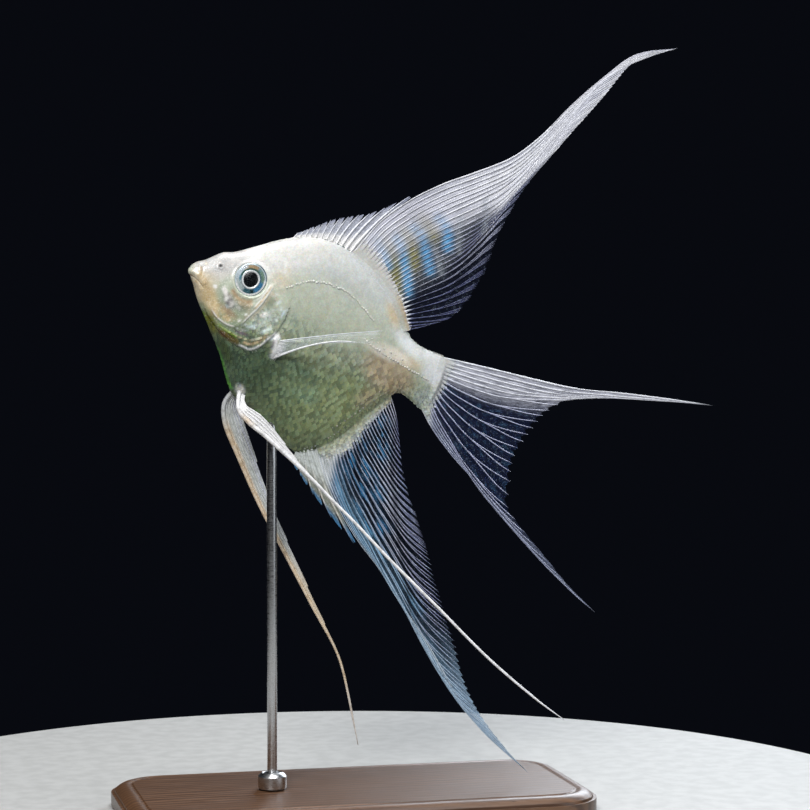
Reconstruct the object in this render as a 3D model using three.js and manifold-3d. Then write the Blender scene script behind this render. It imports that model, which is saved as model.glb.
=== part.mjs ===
// Freshwater angelfish (Pterophyllum scalare), a pale long-finned young adult, life size, as a still
// display model: the fish swims nose-up above a flat base, carried by one slender rod.
// Millimetres, +Z up, head toward -X, left side toward -Y. The origin is the middle of the
// underside of the base. The fish itself is drawn in its own frame: x runs from the snout to the
// tail, z is up across the body, y = 0 is its plane of symmetry, and the snout is at x = 0.

import * as THREE from "three";
import { mergeVertices } from "three/addons/utils/BufferGeometryUtils.js";
import Module from "manifold-3d";

const wasm = await Module();
wasm.setup();

// ---- driving dimensions --------------------------------------------------------------------

const GAP = 0.3; // clearance wherever two pieces meet
const PITCH = THREE.MathUtils.degToRad(24.5); // nose-up angle of the swimming fish
const SNOUT = new THREE.Vector3(-36.7, 0, 118.8); // tip of the upper lip, above the base
const BODY_LENGTH = 60; // standard length: snout to the root of the tail fin

const FIN_EDGE = 0.6; // thickness of every fin away from its root
const FIN_ROOT = 1.5; // thickness of the fleshy root of the dorsal and anal fins
const FIN_ROOT_REACH = 0.2; // part of a ray's length over which the root thins
const ROOT_GAP = 1.3 * GAP; // a fin's root off the body, a little more than GAP as the back is faceted

const BASE = { length: 104, depth: 50, thickness: 5, corner: 12, bevel: 0.8 };
const ROD = { radius: 1.1, ahead: 31.2, depthInBelly: 5, depthInBase: 3.5 };
const COLLAR = { radius: 3.2, height: 3.5, chamfer: 1 };

const EYE = { x: 12.9, z: 4, side: 2.9, radius: 3.5, height: 3.7, depth: 1.7 };

// ---- body outline, in the fish's own frame: [x, value] ----------------------------------------

const BACK = [
  [0, 1.9], [1, 3.1], [2.4, 4.2], [5.2, 7.2], [7.6, 8.5], [11.4, 11.6], [15.1, 14.7],
  [18.9, 17.2], [24.5, 19.3], [31, 19.4], [39.7, 16.7], [45, 13.7], [50.5, 8.3], [54, 7], [60, 7.1],
];
const BELLY = [
  [0, -0.3], [1.2, -0.9], [4.3, -4.6], [8.8, -8.8], [13.3, -13], [19, -19.5], [22, -20.8],
  [26.4, -21.7], [32, -24], [38, -25.9], [44.4, -20.6], [49.1, -12.1], [53.1, -5.3], [55, -4.6],
  [60, -6],
];
const HALF_WIDTH = [
  [0, 0.8], [1, 1.5], [2.4, 2], [5, 2.6], [9, 3.3], [13, 3.9], [18, 4.6], [23, 5], [30, 4.8],
  [38, 3.9], [45, 3], [50, 2.3], [55, 1.7], [60, 1.1],
];
const WIDEST_LEVEL = [[0, 0.8], [6, 0], [14, -1.5], [24, -3], [36, -3], [46, 0], [60, 0.5]];
const FLANK_ROUNDNESS = 1.2; // power of the cosine in a cross-section: 1 is an ellipse
const STATIONS = 32; // cross-sections along the body
const CROWDING = 0.45; // how much closer the cross-sections stand at the snout than at the tail
const RING_POINTS = 24;
const CLEAR_OF_FISH = 20; // a distance well outside the body, for blades that cut right through it

/** Smooth curve through [x, value] pairs, as a function of x. */
function through(points) {
  const slope = (i) => {
    const before = points[Math.max(i - 1, 0)];
    const after = points[Math.min(i + 1, points.length - 1)];
    return (after[1] - before[1]) / (after[0] - before[0]);
  };
  return (x) => {
    let i = points.findIndex((point) => point[0] > x) - 1;
    if (i < 0) i = x <= points[0][0] ? 0 : points.length - 2;
    const [x0, y0] = points[i];
    const [x1, y1] = points[i + 1];
    const width = x1 - x0;
    const t = THREE.MathUtils.clamp((x - x0) / width, 0, 1);
    const keep = (1 + 2 * t) * (1 - t) ** 2 * y0 + t * t * (3 - 2 * t) * y1;
    const turn = t * (1 - t) ** 2 * slope(i) - t * t * (1 - t) * slope(i + 1);
    return keep + turn * width;
  };
}

const back = through(BACK);
const belly = through(BELLY);
const halfWidth = through(HALF_WIDTH);
const widestLevel = through(WIDEST_LEVEL);

// ---- solids ----------------------------------------------------------------------------------

function solidOf(geometry) {
  const bare = geometry.clone();
  bare.deleteAttribute("normal");
  bare.deleteAttribute("uv");
  const merged = mergeVertices(bare, 1e-5);
  const vertProperties = new Float32Array(merged.attributes.position.array);
  const triVerts = new Uint32Array(merged.index.array);
  return new wasm.Manifold(new wasm.Mesh({ numProp: 3, vertProperties, triVerts }));
}

function geometryOf(solid) {
  const { vertProperties, triVerts } = solid.getMesh();
  const geometry = new THREE.BufferGeometry();
  geometry.setAttribute("position", new THREE.BufferAttribute(new Float32Array(vertProperties), 3));
  geometry.setIndex(new THREE.BufferAttribute(new Uint32Array(triVerts), 1));
  geometry.computeVertexNormals();
  return geometry;
}

/** Closed surface from rings of equal length, its two ends closed with fans. */
function loft(rings) {
  const count = rings[0].length;
  const positions = rings.flat().flatMap((p) => [p.x, p.y, p.z]);
  const index = [];
  for (let r = 0; r + 1 < rings.length; r += 1) {
    for (let i = 0; i < count; i += 1) {
      const a = r * count + i;
      const b = r * count + ((i + 1) % count);
      index.push(a, b, a + count, b, b + count, a + count);
    }
  }
  for (let i = 1; i + 1 < count; i += 1) {
    const last = (rings.length - 1) * count;
    index.push(0, i + 1, i, last, last + i, last + i + 1);
  }
  const geometry = new THREE.BufferGeometry();
  geometry.setAttribute("position", new THREE.Float32BufferAttribute(positions, 3));
  geometry.setIndex(index);
  geometry.computeVertexNormals();
  return geometry;
}

/** Thin closed sheet over a grid of points, thickened evenly to both sides. */
function sheet(point, rows, columns, thickness, normalAt = () => new THREE.Vector3(0, 1, 0)) {
  const positions = [];
  const index = [];
  const across = columns + 1;
  const layer = (rows + 1) * across;
  for (const side of [-1, 1]) {
    for (let r = 0; r <= rows; r += 1) {
      for (let c = 0; c <= columns; c += 1) {
        const t = r / rows;
        const s = c / columns;
        const offset = normalAt(t, s).multiplyScalar((side * thickness(t, s)) / 2);
        positions.push(...point(t, s).add(offset).toArray());
      }
    }
  }
  const quad = (a, b, c, d) => index.push(a, b, c, a, c, d);
  for (let r = 0; r < rows; r += 1) {
    for (let c = 0; c < columns; c += 1) {
      const a = r * across + c;
      quad(a, a + across, a + across + 1, a + 1);
      quad(a + layer, a + layer + 1, a + layer + across + 1, a + layer + across);
    }
  }
  const rim = [];
  for (let c = 0; c < columns; c += 1) rim.push(c);
  for (let r = 0; r < rows; r += 1) rim.push(r * across + columns);
  for (let c = columns; c > 0; c -= 1) rim.push(rows * across + c);
  for (let r = rows; r > 0; r -= 1) rim.push(r * across);
  rim.forEach((a, i) => {
    const b = rim[(i + 1) % rim.length];
    quad(a, b, b + layer, a + layer);
  });
  const geometry = new THREE.BufferGeometry();
  geometry.setAttribute("position", new THREE.Float32BufferAttribute(positions, 3));
  geometry.setIndex(index);
  geometry.computeVertexNormals();
  return outward(geometry);
}

/** The same closed surface with its faces turned outward. */
function outward(geometry) {
  const p = geometry.attributes.position;
  const index = Array.from(geometry.index.array);
  const corner = (i) => new THREE.Vector3().fromBufferAttribute(p, i);
  let volume = 0;
  for (let i = 0; i < index.length; i += 3) {
    const [a, b, c] = [corner(index[i]), corner(index[i + 1]), corner(index[i + 2])];
    volume += a.dot(b.cross(c));
  }
  if (volume < 0) {
    for (let i = 0; i < index.length; i += 3) {
      [index[i], index[i + 1]] = [index[i + 1], index[i]];
    }
    geometry.setIndex(index);
  }
  geometry.computeVertexNormals();
  return geometry;
}

// ---- body ------------------------------------------------------------------------------------

/** One cross-section of the body: a lens, thickest at the widest level. */
function bodyRing(x) {
  const level = widestLevel(x);
  const ring = [];
  for (let i = 0; i < RING_POINTS; i += 1) {
    const angle = (i / RING_POINTS) * 2 * Math.PI;
    const reach = Math.sin(angle) > 0 ? back(x) - level : level - belly(x);
    const side = Math.sign(Math.cos(angle)) * Math.abs(Math.cos(angle)) ** FLANK_ROUNDNESS;
    ring.push(new THREE.Vector3(x, -halfWidth(x) * side, level + reach * Math.sin(angle)));
  }
  return ring;
}

function wholeBody() {
  const rings = [];
  for (let i = 0; i <= STATIONS; i += 1) {
    const t = i / STATIONS;
    rings.push(bodyRing(BODY_LENGTH * (CROWDING * t * t + (1 - CROWDING) * t)));
  }
  return solidOf(outward(loft(rings)));
}

/** A thin curved blade across the fish, along a path of [x, z] points, from y = from to y = to. */
function blade(path, closed = false, from = -CLEAR_OF_FISH, to = CLEAR_OF_FISH) {
  const curve = new THREE.CatmullRomCurve3(path.map(([x, z]) => new THREE.Vector3(x, z, 0)), closed);
  const steps = path.length * 2;
  const edges = [-1, 1].map((side) => {
    const edge = [];
    for (let i = 0; i < steps + (closed ? 0 : 1); i += 1) {
      const at = curve.getPoint(i / steps);
      const along = curve.getTangent(i / steps);
      const off = (side * GAP) / 2;
      edge.push(new THREE.Vector2(at.x - along.y * off, at.y + along.x * off));
    }
    return edge;
  });
  const area = (edge) => Math.abs(THREE.ShapeUtils.area(edge));
  let shape = new THREE.Shape([...edges[0], ...edges[1].reverse()]);
  if (closed) {
    const [outer, inner] = area(edges[0]) > area(edges[1]) ? edges : [edges[1], edges[0]];
    shape = new THREE.Shape(outer);
    shape.holes.push(new THREE.Path(inner));
  }
  return acrossTheFish(shape, from, to);
}

/** A flat shape drawn in x, z, made solid from y = from to y = to. */
function acrossTheFish(shape, from, to) {
  const geometry = new THREE.ExtrudeGeometry(shape, { depth: to - from, bevelEnabled: false });
  geometry.rotateX(Math.PI / 2);
  geometry.translate(0, to, 0);
  return solidOf(geometry);
}

const GILL_EDGE = [
  [16.6, 18.5], [19, 12], [21.4, 5.6], [22.8, 0.6], [22.5, -4], [20.4, -8.6], [17.6, -10.7],
  [14, -11.9], [10.6, -13.8],
];
const GILL_COVER = [
  [19.6, 6.2], [17.1, 1.6], [15.4, -3.2], [13.9, -7], [14.4, -9.4], [17, -9.9], [19.6, -8.4],
  [21.6, -4], [22, 0.4], [20.9, 4.4],
];
const GILL_COVER_DEPTH = 2.6; // how far out from the middle the floor under a gill cover lies
const MOUTH = [[-1, 0.4], [1.6, 0], [3.8, -0.9], [5.6, -2.6]];
const LOWER_JAW_BACK = [[5.6, -2.6], [8.2, -5.4], [9.4, -11]];
const UPPER_LIP_BACK = [[2.4, 6.6], [3.4, 3.2], [4.4, 0.6], [4.5, -1.9]];
const TAIL_ROOT = [[50.6, CLEAR_OF_FISH], [50.6, 0], [50.6, -CLEAR_OF_FISH]];

function rodCylinder(radius, bottom, top) {
  const geometry = new THREE.CylinderGeometry(radius, radius, top - bottom, 16);
  geometry.rotateX(Math.PI / 2);
  geometry.translate(0, 0, (top + bottom) / 2);
  return geometry;
}

/** Where the rod meets the belly: the point of the ventral edge, in the fish's frame. */
const ROD_ENTRY = new THREE.Vector3(ROD.ahead, 0, belly(ROD.ahead));

function bodyPieces() {
  const coverOutline = new THREE.CatmullRomCurve3(
    GILL_COVER.map(([x, z]) => new THREE.Vector3(x, z, 0)),
    true,
  );
  const coverPoints = coverOutline.getPoints(18).slice(1);
  const coverShape = new THREE.Shape(coverPoints.map((p) => new THREE.Vector2(p.x, p.y)));
  let body = wholeBody();
  for (const path of [GILL_EDGE, TAIL_ROOT, [...MOUTH, ...LOWER_JAW_BACK.slice(1)], UPPER_LIP_BACK]) {
    body = body.subtract(blade(path));
  }
  for (const side of [-1, 1]) {
    const floor = side * GILL_COVER_DEPTH;
    const [low, high] = side < 0 ? [-CLEAR_OF_FISH, floor] : [floor, CLEAR_OF_FISH];
    body = body.subtract(blade(GILL_COVER, true, low, high));
    body = body.subtract(acrossTheFish(coverShape, floor - GAP / 2, floor + GAP / 2));
    body = body.subtract(solidOf(eyeGeometry(side, GAP)));
  }
  const socket = rodCylinder(ROD.radius + GAP, -CLEAR_OF_FISH, ROD.depthInBelly + GAP);
  socket.rotateY(-PITCH);
  socket.translate(ROD_ENTRY.x, 0, ROD_ENTRY.z);
  return body.subtract(solidOf(socket)).decompose();
}

/** The eyeball: a flattened sphere, let into the head by its own depth. */
function eyeGeometry(side, growth = 0) {
  const geometry = new THREE.SphereGeometry(1, 16, 10);
  geometry.scale(EYE.radius + growth, EYE.depth + growth, EYE.height + growth);
  geometry.translate(EYE.x, side * EYE.side, EYE.z);
  return geometry;
}

// ---- fins ------------------------------------------------------------------------------------

function flatCurve(points) {
  return new THREE.CatmullRomCurve3(points.map(([x, z]) => new THREE.Vector3(x, 0, z)));
}

/**
 * A fin's web, ruled from its front to its rear edge. The root and the free edge are curves of
 * their own where they aren't straight.
 */
function ruledFin({ front, rear, root, free, sway, rootWidth = FIN_ROOT, rows = 5, columns = 18 }) {
  const frontEdge = flatCurve(front);
  const rearEdge = flatCurve(rear);
  const bulge = (edge, at, v) => {
    if (!edge) return new THREE.Vector3();
    const straight = frontEdge.getPointAt(at).lerp(rearEdge.getPointAt(at), v);
    return flatCurve(edge).getPointAt(v).sub(straight);
  };
  const point = (v, u) => {
    const at = frontEdge.getPointAt(u).lerp(rearEdge.getPointAt(u), v);
    at.addScaledVector(bulge(root, 0, v), (1 - u) ** 3);
    at.addScaledVector(bulge(free, 1, v), u ** 3);
    at.y = sway * u * u;
    return at;
  };
  return sheet(point, rows, columns, rootThickness(rootWidth));
}

const rootThickness = (root) => (t, s) => {
  const near = Math.max(0, 1 - s / FIN_ROOT_REACH);
  return FIN_EDGE + (root - FIN_EDGE) * near * near;
};

/** Points just off the body's back or belly, between two stations. */
function alongEdge(edge, from, to, side, count = 7) {
  const step = 0.1;
  const points = [];
  for (let i = 0; i < count; i += 1) {
    const x = from + ((to - from) * i) / (count - 1);
    const slope = (edge(x + step) - edge(x - step)) / (2 * step);
    const off = (side * ROOT_GAP) / Math.hypot(1, slope);
    points.push([x - slope * off, edge(x) + off]);
  }
  return points;
}

const SPINE_ARCH = 0.4; // a spine's bow away from the body, as a part of its bow toward the head

/** A row of spines joined by webs, with a notch between each spine and the next. */
function spinyFin({ edge, side, from, to, tips, lean, notch }) {
  const roots = flatCurve(alongEdge(edge, from, to, side));
  const ends = flatCurve(tips);
  const gaps = tips.length - 1;
  const point = (t, s) => {
    const start = roots.getPointAt(t);
    const end = ends.getPoint(t);
    const isWeb = Math.round(t * gaps * 2) % 2 === 1;
    const reach = isWeb ? s * (1 - notch) : s;
    const at = start.clone().lerp(end, reach);
    const bow = lean * reach * (1 - reach) * start.distanceTo(end);
    at.x -= bow;
    at.z += bow * side * SPINE_ARCH;
    return at;
  };
  return sheet(point, gaps * 2, 4, rootThickness(FIN_ROOT));
}

const DORSAL_SPINES = {
  edge: back, side: 1, from: 18.4, to: 31.2, lean: 0.16, notch: 0.16,
  tips: [
    [18.9, 18.2], [19.9, 19.2], [20.9, 20.3], [22, 21.3], [23, 22.4], [24.3, 23.7], [26, 25],
    [27.6, 26.1], [29.5, 27.4], [31.6, 28.7], [34.2, 31.3], [38.2, 36],
  ],
};
const ANAL_SPINES = {
  edge: belly, side: -1, from: 38.2, to: 41.2, lean: 0.13, notch: 0.2,
  tips: [[38.6, -28.6], [41.4, -30.4], [45.6, -32.9], [51.4, -35.9], [58.4, -39.1]],
};
const DORSAL_RAYS = {
  root: alongEdge(back, 31.9, 50, 1),
  front: [
    [31.9, 19.8], [34.4, 28], [38.8, 35.5], [44.2, 42], [50.4, 48], [56.4, 54.4], [60.6, 62],
    [63.8, 70.4], [68.7, 80.7], [73.3, 88.3], [82.2, 94.4],
  ],
  rear: [
    [50.3, 8.6], [53.6, 11.5], [57.2, 17], [59.1, 27.3], [59.6, 38.1], [61.6, 49.2], [65.7, 62.3],
    [70.3, 76], [73.8, 86.7], [77, 89.8], [82.4, 93.6],
  ],
  sway: 3,
};
const ANAL_RAYS = {
  root: alongEdge(belly, 42.2, 52.6, -1),
  front: [
    [42.4, -23.2], [46.8, -28.4], [52.4, -33.2], [59.2, -37.9], [65.8, -41.5], [72.7, -46],
    [82.7, -52.3], [94.5, -61], [101.4, -65.3], [116.6, -70.6],
  ],
  rear: [
    [52.8, -6.4], [54.6, -8.4], [56.8, -11.1], [63.4, -21.6], [71.8, -30.6], [79.9, -40.1],
    [88.9, -50.4], [97.7, -60.2], [109, -67.3], [116.4, -69.8],
  ],
  sway: -3,
};
const TAIL_TOP = {
  front: [
    [60.3, 6.9], [70.5, 8.9], [80.9, 10.9], [91.1, 13.1], [100.9, 16.4], [110, 19.3], [122.9, 23],
  ],
  rear: [
    [60.6, 2.5], [70, 4.6], [80, 6.6], [90.1, 9.1], [95.8, 12.5], [105.4, 16.8], [122.9, 22.4],
  ],
  sway: -2,
};
const TAIL_MIDDLE = {
  front: [[60.6, 2.1], [70, 4.2], [80, 6.2], [89.6, 8.6]],
  rear: [[60.6, -2.1], [70, -7.5], [80, -12.9], [88, -17.6]],
  free: [[89.6, 8.6], [86.5, 3.8], [84.8, -2.7], [84.8, -8], [86.2, -13], [88, -17.6]],
  sway: -0.4,
};
const TAIL_LOW = {
  front: [
    [60.6, -2.5], [69.6, -7.9], [79.6, -13.4], [88.2, -18.3], [92, -20.3], [100.8, -24.6],
    [108.9, -28.4], [116.7, -30.8],
  ],
  rear: [
    [60.3, -5.8], [63.8, -8.4], [70.2, -12], [77.1, -15.1], [84.5, -18.9], [92.9, -22.6],
    [102, -26.5], [108.8, -29.2], [116.4, -31.4],
  ],
  sway: -2,
};
const TAIL_SIZES = { rootWidth: 1.2, rows: 4, columns: 14 };

/** A large block: all that lies past a point, in a direction of the x, z plane, moved on by offset. */
function beyond(point, direction, offset) {
  const reach = 200;
  const geometry = new THREE.BoxGeometry(reach, reach, reach);
  geometry.translate(reach / 2 + offset, 0, 0);
  geometry.rotateY(-Math.atan2(direction[1], direction[0]));
  geometry.translate(point[0], 0, point[1]);
  return solidOf(geometry);
}

/** Cuts a fin across into lengths, at planes given as [point, direction] from root to tip. */
function lengths(geometry, cuts) {
  let rest = solidOf(geometry);
  const pieces = [];
  for (const [point, direction] of cuts) {
    pieces.push(rest.subtract(beyond(point, direction, -GAP / 2)));
    rest = rest.intersect(beyond(point, direction, GAP / 2));
  }
  pieces.push(rest);
  return pieces.map(geometryOf);
}

const PELVIC_THICKNESS = 0.7;

/** A pelvic fin: a narrow blade on a short stalk that draws out into a long thread. */
function pelvicFin({ middle, halfWidth: widths }) {
  const line = new THREE.CatmullRomCurve3(middle.map(([x, y, z]) => new THREE.Vector3(x, y, z)));
  const widthAt = through(widths);
  const point = (t, s) => {
    const along = line.getTangentAt(s);
    const across = new THREE.Vector3(-along.z, 0, along.x).normalize();
    return line.getPointAt(s).addScaledVector(across, (2 * t - 1) * widthAt(s));
  };
  return sheet(point, 2, 38, () => PELVIC_THICKNESS);
}

const PELVIC_LEFT = {
  middle: [
    [22, -2.2, -19.6], [21.5, -3, -21.2], [22.4, -3.9, -22.9], [24.9, -4.4, -23.5], [28.6, -5.2, -24.4],
    [33.8, -6, -26.3], [42.6, -7.6, -29.9], [51, -9.4, -33.5], [65, -12, -39.5], [76.6, -14, -44],
    [93, -16.4, -50.4], [106.9, -17.8, -54.5], [113.4, -18.4, -55.9],
  ],
  halfWidth: [
    [0, 0.8], [0.03, 0.6], [0.06, 1.1], [0.09, 1.6], [0.14, 1.5], [0.2, 0.9], [0.28, 0.42], [1, 0.3],
  ],
};
const PELVIC_RIGHT = {
  middle: [
    [20.9, 2.2, -20.4], [21.2, 3, -22.6], [23.8, 3.8, -26], [28.5, 4.6, -30.4], [37.2, 5.6, -38.4],
    [47.2, 6.6, -46.4], [57.1, 7.6, -54.3], [69.3, 9.4, -64.3], [74.5, 10.3, -71.4],
    [81.3, 11.6, -80.5],
  ],
  halfWidth: [
    [0, 1], [0.03, 1.7], [0.08, 2.3], [0.15, 2.1], [0.3, 1.55], [0.5, 1.2], [0.59, 0.6], [0.68, 0.4],
    [1, 0.3],
  ],
};
const PELVIC_CUTS = {
  left: [[[38.6, -28.2], [1, -0.4]], [[65, -39.5], [1, -0.4]], [[90, -49.3], [1, -0.4]]],
  right: [[[40.4, -41.2], [0.78, -0.63]], [[62, -58], [0.78, -0.63]]],
};

const PECTORAL = {
  rootTop: [23.6, 6, -4.8],
  rootBottom: [25.4, 6, -9.4],
  tips: [[43.2, 7.2, 5.8], [43.6, 8.4, 3.4], [42.2, 9.6, 1.2], [38.6, 10.4, -0.6]],
  arch: 2.2, // upward bow of the rays
  archLost: 0.3, // part of that bow lost by the lowest ray
  cup: 1.1, // outward bow of the whole fan
  rootWidth: 1.3,
};

/** A pectoral fin: a short fan on a fleshy root, laid back along the flank and a little out from it. */
function pectoralFin(side) {
  const rootTop = new THREE.Vector3(...PECTORAL.rootTop);
  const rootBottom = new THREE.Vector3(...PECTORAL.rootBottom);
  const tips = new THREE.CatmullRomCurve3(PECTORAL.tips.map((tip) => new THREE.Vector3(...tip)));
  const point = (t, s) => {
    const at = rootTop.clone().lerp(rootBottom, t).lerp(tips.getPoint(t), s);
    at.z += PECTORAL.arch * s * (1 - s) * (1 - PECTORAL.archLost * t);
    at.y += PECTORAL.cup * Math.sin(Math.PI * s);
    at.y *= side;
    return at;
  };
  const normalAt = (t, s) => {
    const step = 0.01;
    const [t0, s0] = [Math.min(t, 1 - step), Math.min(s, 1 - step)];
    const across = point(t0 + step, s0).sub(point(t0, s0));
    const along = point(t0, s0 + step).sub(point(t0, s0));
    return across.cross(along).normalize();
  };
  return sheet(point, 6, 8, rootThickness(PECTORAL.rootWidth), normalAt);
}

// ---- stand -----------------------------------------------------------------------------------

function roundedRectangle(length, depth, corner) {
  const shape = new THREE.Shape();
  const [x, y] = [length / 2 - corner, depth / 2 - corner];
  shape.absarc(x, -y, corner, -Math.PI / 2, 0);
  shape.absarc(x, y, corner, 0, Math.PI / 2);
  shape.absarc(-x, y, corner, Math.PI / 2, Math.PI);
  shape.absarc(-x, -y, corner, Math.PI, 1.5 * Math.PI);
  return shape;
}

const fishPoint = (point) => point.clone().applyAxisAngle(new THREE.Vector3(0, 1, 0), PITCH).add(SNOUT);
const rodFoot = fishPoint(ROD_ENTRY);

function standBase() {
  const { length, depth, thickness, corner, bevel } = BASE;
  const outline = roundedRectangle(length - 2 * bevel, depth - 2 * bevel, corner - bevel);
  const plate = new THREE.ExtrudeGeometry(outline, {
    depth: thickness - 2 * bevel,
    bevelThickness: bevel,
    bevelSize: bevel,
    bevelSegments: 1,
    curveSegments: 6,
  });
  plate.translate(0, 0, bevel);
  const hole = rodCylinder(ROD.radius + GAP, thickness - ROD.depthInBase - GAP, thickness + 1);
  hole.translate(rodFoot.x, 0, 0);
  return geometryOf(solidOf(plate).subtract(solidOf(hole)));
}

function standRod() {
  const bottom = BASE.thickness - ROD.depthInBase;
  const geometry = rodCylinder(ROD.radius, bottom, rodFoot.z + ROD.depthInBelly);
  geometry.translate(rodFoot.x, 0, 0);
  return geometry;
}

function standCollar() {
  const inner = ROD.radius + GAP;
  const bottom = BASE.thickness + GAP;
  const top = bottom + COLLAR.height;
  const { radius, chamfer } = COLLAR;
  const section = [
    [inner, bottom], [radius, bottom], [radius, top - chamfer], [radius - chamfer, top],
    [inner, top], [inner, bottom],
  ].map(([r, z]) => new THREE.Vector2(r, z));
  const geometry = new THREE.LatheGeometry(section, 18);
  geometry.rotateX(Math.PI / 2);
  geometry.translate(rodFoot.x, 0, 0);
  return geometry;
}

// ---- assembly --------------------------------------------------------------------------------

const paint = (color, roughness, metalness = 0) => ({ color, roughness, metalness });
const FINISH = {
  skin: paint(0xc9c6b4, 0.4),
  eye: paint(0x6f8f99, 0.1),
  fin: paint(0xdfe2ec, 0.45),
  wood: paint(0x3a2416, 0.45),
  steel: paint(0xb9bcc0, 0.3, 1),
};

function addPiece(group, name, geometry, finish) {
  const mesh = new THREE.Mesh(geometry, new THREE.MeshStandardMaterial(FINISH[finish]));
  mesh.name = name;
  group.add(mesh);
}

/** The centre, in the fish's frame, of each piece that the thin cuts part from the body. */
const BODY_PIECES = {
  upper_lip: [2, 0, 2],
  lower_jaw: [4.6, 0, -5],
  head: [12, 0, 3],
  gill_cover_left: [18.6, -3.7, -2],
  gill_cover_right: [18.6, 3.7, -2],
  trunk: [31, 0, -3],
  tail_stem: [55.5, 0, 1],
};

function addBody(group) {
  const pieces = bodyPieces();
  for (const [name, centre] of Object.entries(BODY_PIECES)) {
    const wanted = new THREE.Vector3(...centre);
    const distances = pieces.map((piece) => {
      const { min, max } = piece.boundingBox();
      const middle = new THREE.Vector3(...min).add(new THREE.Vector3(...max)).multiplyScalar(0.5);
      return middle.distanceTo(wanted);
    });
    const nearest = distances.indexOf(Math.min(...distances));
    addPiece(group, name, geometryOf(pieces[nearest]), "skin");
  }
}

function addLengths(group, names, geometry, cuts) {
  lengths(geometry, cuts).forEach((piece, i) => addPiece(group, names[i], piece, "fin"));
}

const fish = new THREE.Group();
fish.position.copy(SNOUT);
fish.rotation.y = PITCH;
addBody(fish);
addPiece(fish, "eye_left", eyeGeometry(-1), "eye");
addPiece(fish, "eye_right", eyeGeometry(1), "eye");
addPiece(fish, "dorsal_spines", spinyFin(DORSAL_SPINES), "fin");
addLengths(
  fish,
  ["dorsal_rays", "dorsal_streamer", "dorsal_streamer_tip"],
  ruledFin(DORSAL_RAYS),
  [[[58.5, 54], [0.45, 0.9]], [[66, 74], [0.45, 0.9]]],
);
addPiece(fish, "anal_spines", spinyFin(ANAL_SPINES), "fin");
addLengths(
  fish,
  ["anal_rays", "anal_streamer", "anal_streamer_tip"],
  ruledFin(ANAL_RAYS),
  [[[79, -44], [0.8, -0.6]], [[97, -61], [0.85, -0.5]]],
);
addLengths(
  fish,
  ["tail_fin_top", "tail_fin_top_streamer"],
  ruledFin({ ...TAIL_TOP, ...TAIL_SIZES }),
  [[[97, 14], [0.95, 0.25]]],
);
addPiece(fish, "tail_fin_middle", ruledFin({ ...TAIL_MIDDLE, ...TAIL_SIZES }), "fin");
addLengths(
  fish,
  ["tail_fin_low", "tail_fin_low_streamer"],
  ruledFin({ ...TAIL_LOW, ...TAIL_SIZES }),
  [[[96, -23.5], [0.95, -0.4]]],
);
addLengths(
  fish,
  ["pelvic_left", "pelvic_left_thread", "pelvic_left_thread_mid", "pelvic_left_thread_tip"],
  pelvicFin(PELVIC_LEFT),
  PELVIC_CUTS.left,
);
addLengths(
  fish,
  ["pelvic_right", "pelvic_right_blade_tip", "pelvic_right_thread"],
  pelvicFin(PELVIC_RIGHT),
  PELVIC_CUTS.right,
);
addPiece(fish, "pectoral_left", pectoralFin(-1), "fin");
addPiece(fish, "pectoral_right", pectoralFin(1), "fin");

const model = new THREE.Group();
model.add(fish);
addPiece(model, "stand_base", standBase(), "wood");
addPiece(model, "stand_rod", standRod(), "steel");
addPiece(model, "stand_collar", standCollar(), "steel");

export default model;
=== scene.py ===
"""A pale long-finned freshwater angelfish as a life-size museum model on a small wooden stand.

The fish is drawn in its own frame, in millimetres: x runs from the snout to the tail, z is up across
the body, y = 0 is its plane of symmetry and its left side lies toward -y. in_room() puts such points
on the stand, in metres.
"""

import math

import bpy
import numpy as np
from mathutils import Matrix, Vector


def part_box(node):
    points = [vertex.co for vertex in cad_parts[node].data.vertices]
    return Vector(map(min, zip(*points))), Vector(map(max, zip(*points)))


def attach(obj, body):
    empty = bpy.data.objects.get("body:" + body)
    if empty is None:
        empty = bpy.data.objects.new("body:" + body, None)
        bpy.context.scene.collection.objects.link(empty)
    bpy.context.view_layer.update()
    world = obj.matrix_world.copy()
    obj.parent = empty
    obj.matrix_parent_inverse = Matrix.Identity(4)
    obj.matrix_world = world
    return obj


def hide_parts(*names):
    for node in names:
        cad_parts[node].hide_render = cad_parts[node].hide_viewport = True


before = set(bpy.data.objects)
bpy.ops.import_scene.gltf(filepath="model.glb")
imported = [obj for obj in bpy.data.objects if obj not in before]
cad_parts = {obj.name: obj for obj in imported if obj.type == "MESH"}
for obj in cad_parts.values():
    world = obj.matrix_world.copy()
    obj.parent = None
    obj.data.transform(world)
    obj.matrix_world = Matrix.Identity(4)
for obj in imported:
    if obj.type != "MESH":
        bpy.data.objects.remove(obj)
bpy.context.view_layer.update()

# ---- driving sizes, in millimetres ------------------------------------------------------------

MM = 0.001
PITCH = math.radians(24.5)  # how steeply the fish swims up
SNOUT = (-36.7, 0.0, 118.8)  # tip of the upper lip, from the middle of the underside of the base
BODY_LENGTH = 60.0
GILL_END = 23.0  # no spot of the head lies further back
HEAD_END = 27.0  # and no fold
COAT_DEPTH = 0.2  # how far the bare skin lies inside the full body
SCALE_LENGTH = 1.0  # spacing of the scales along the flank
SCALE_ROW = 0.56  # spacing of the scale rows across it

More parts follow.
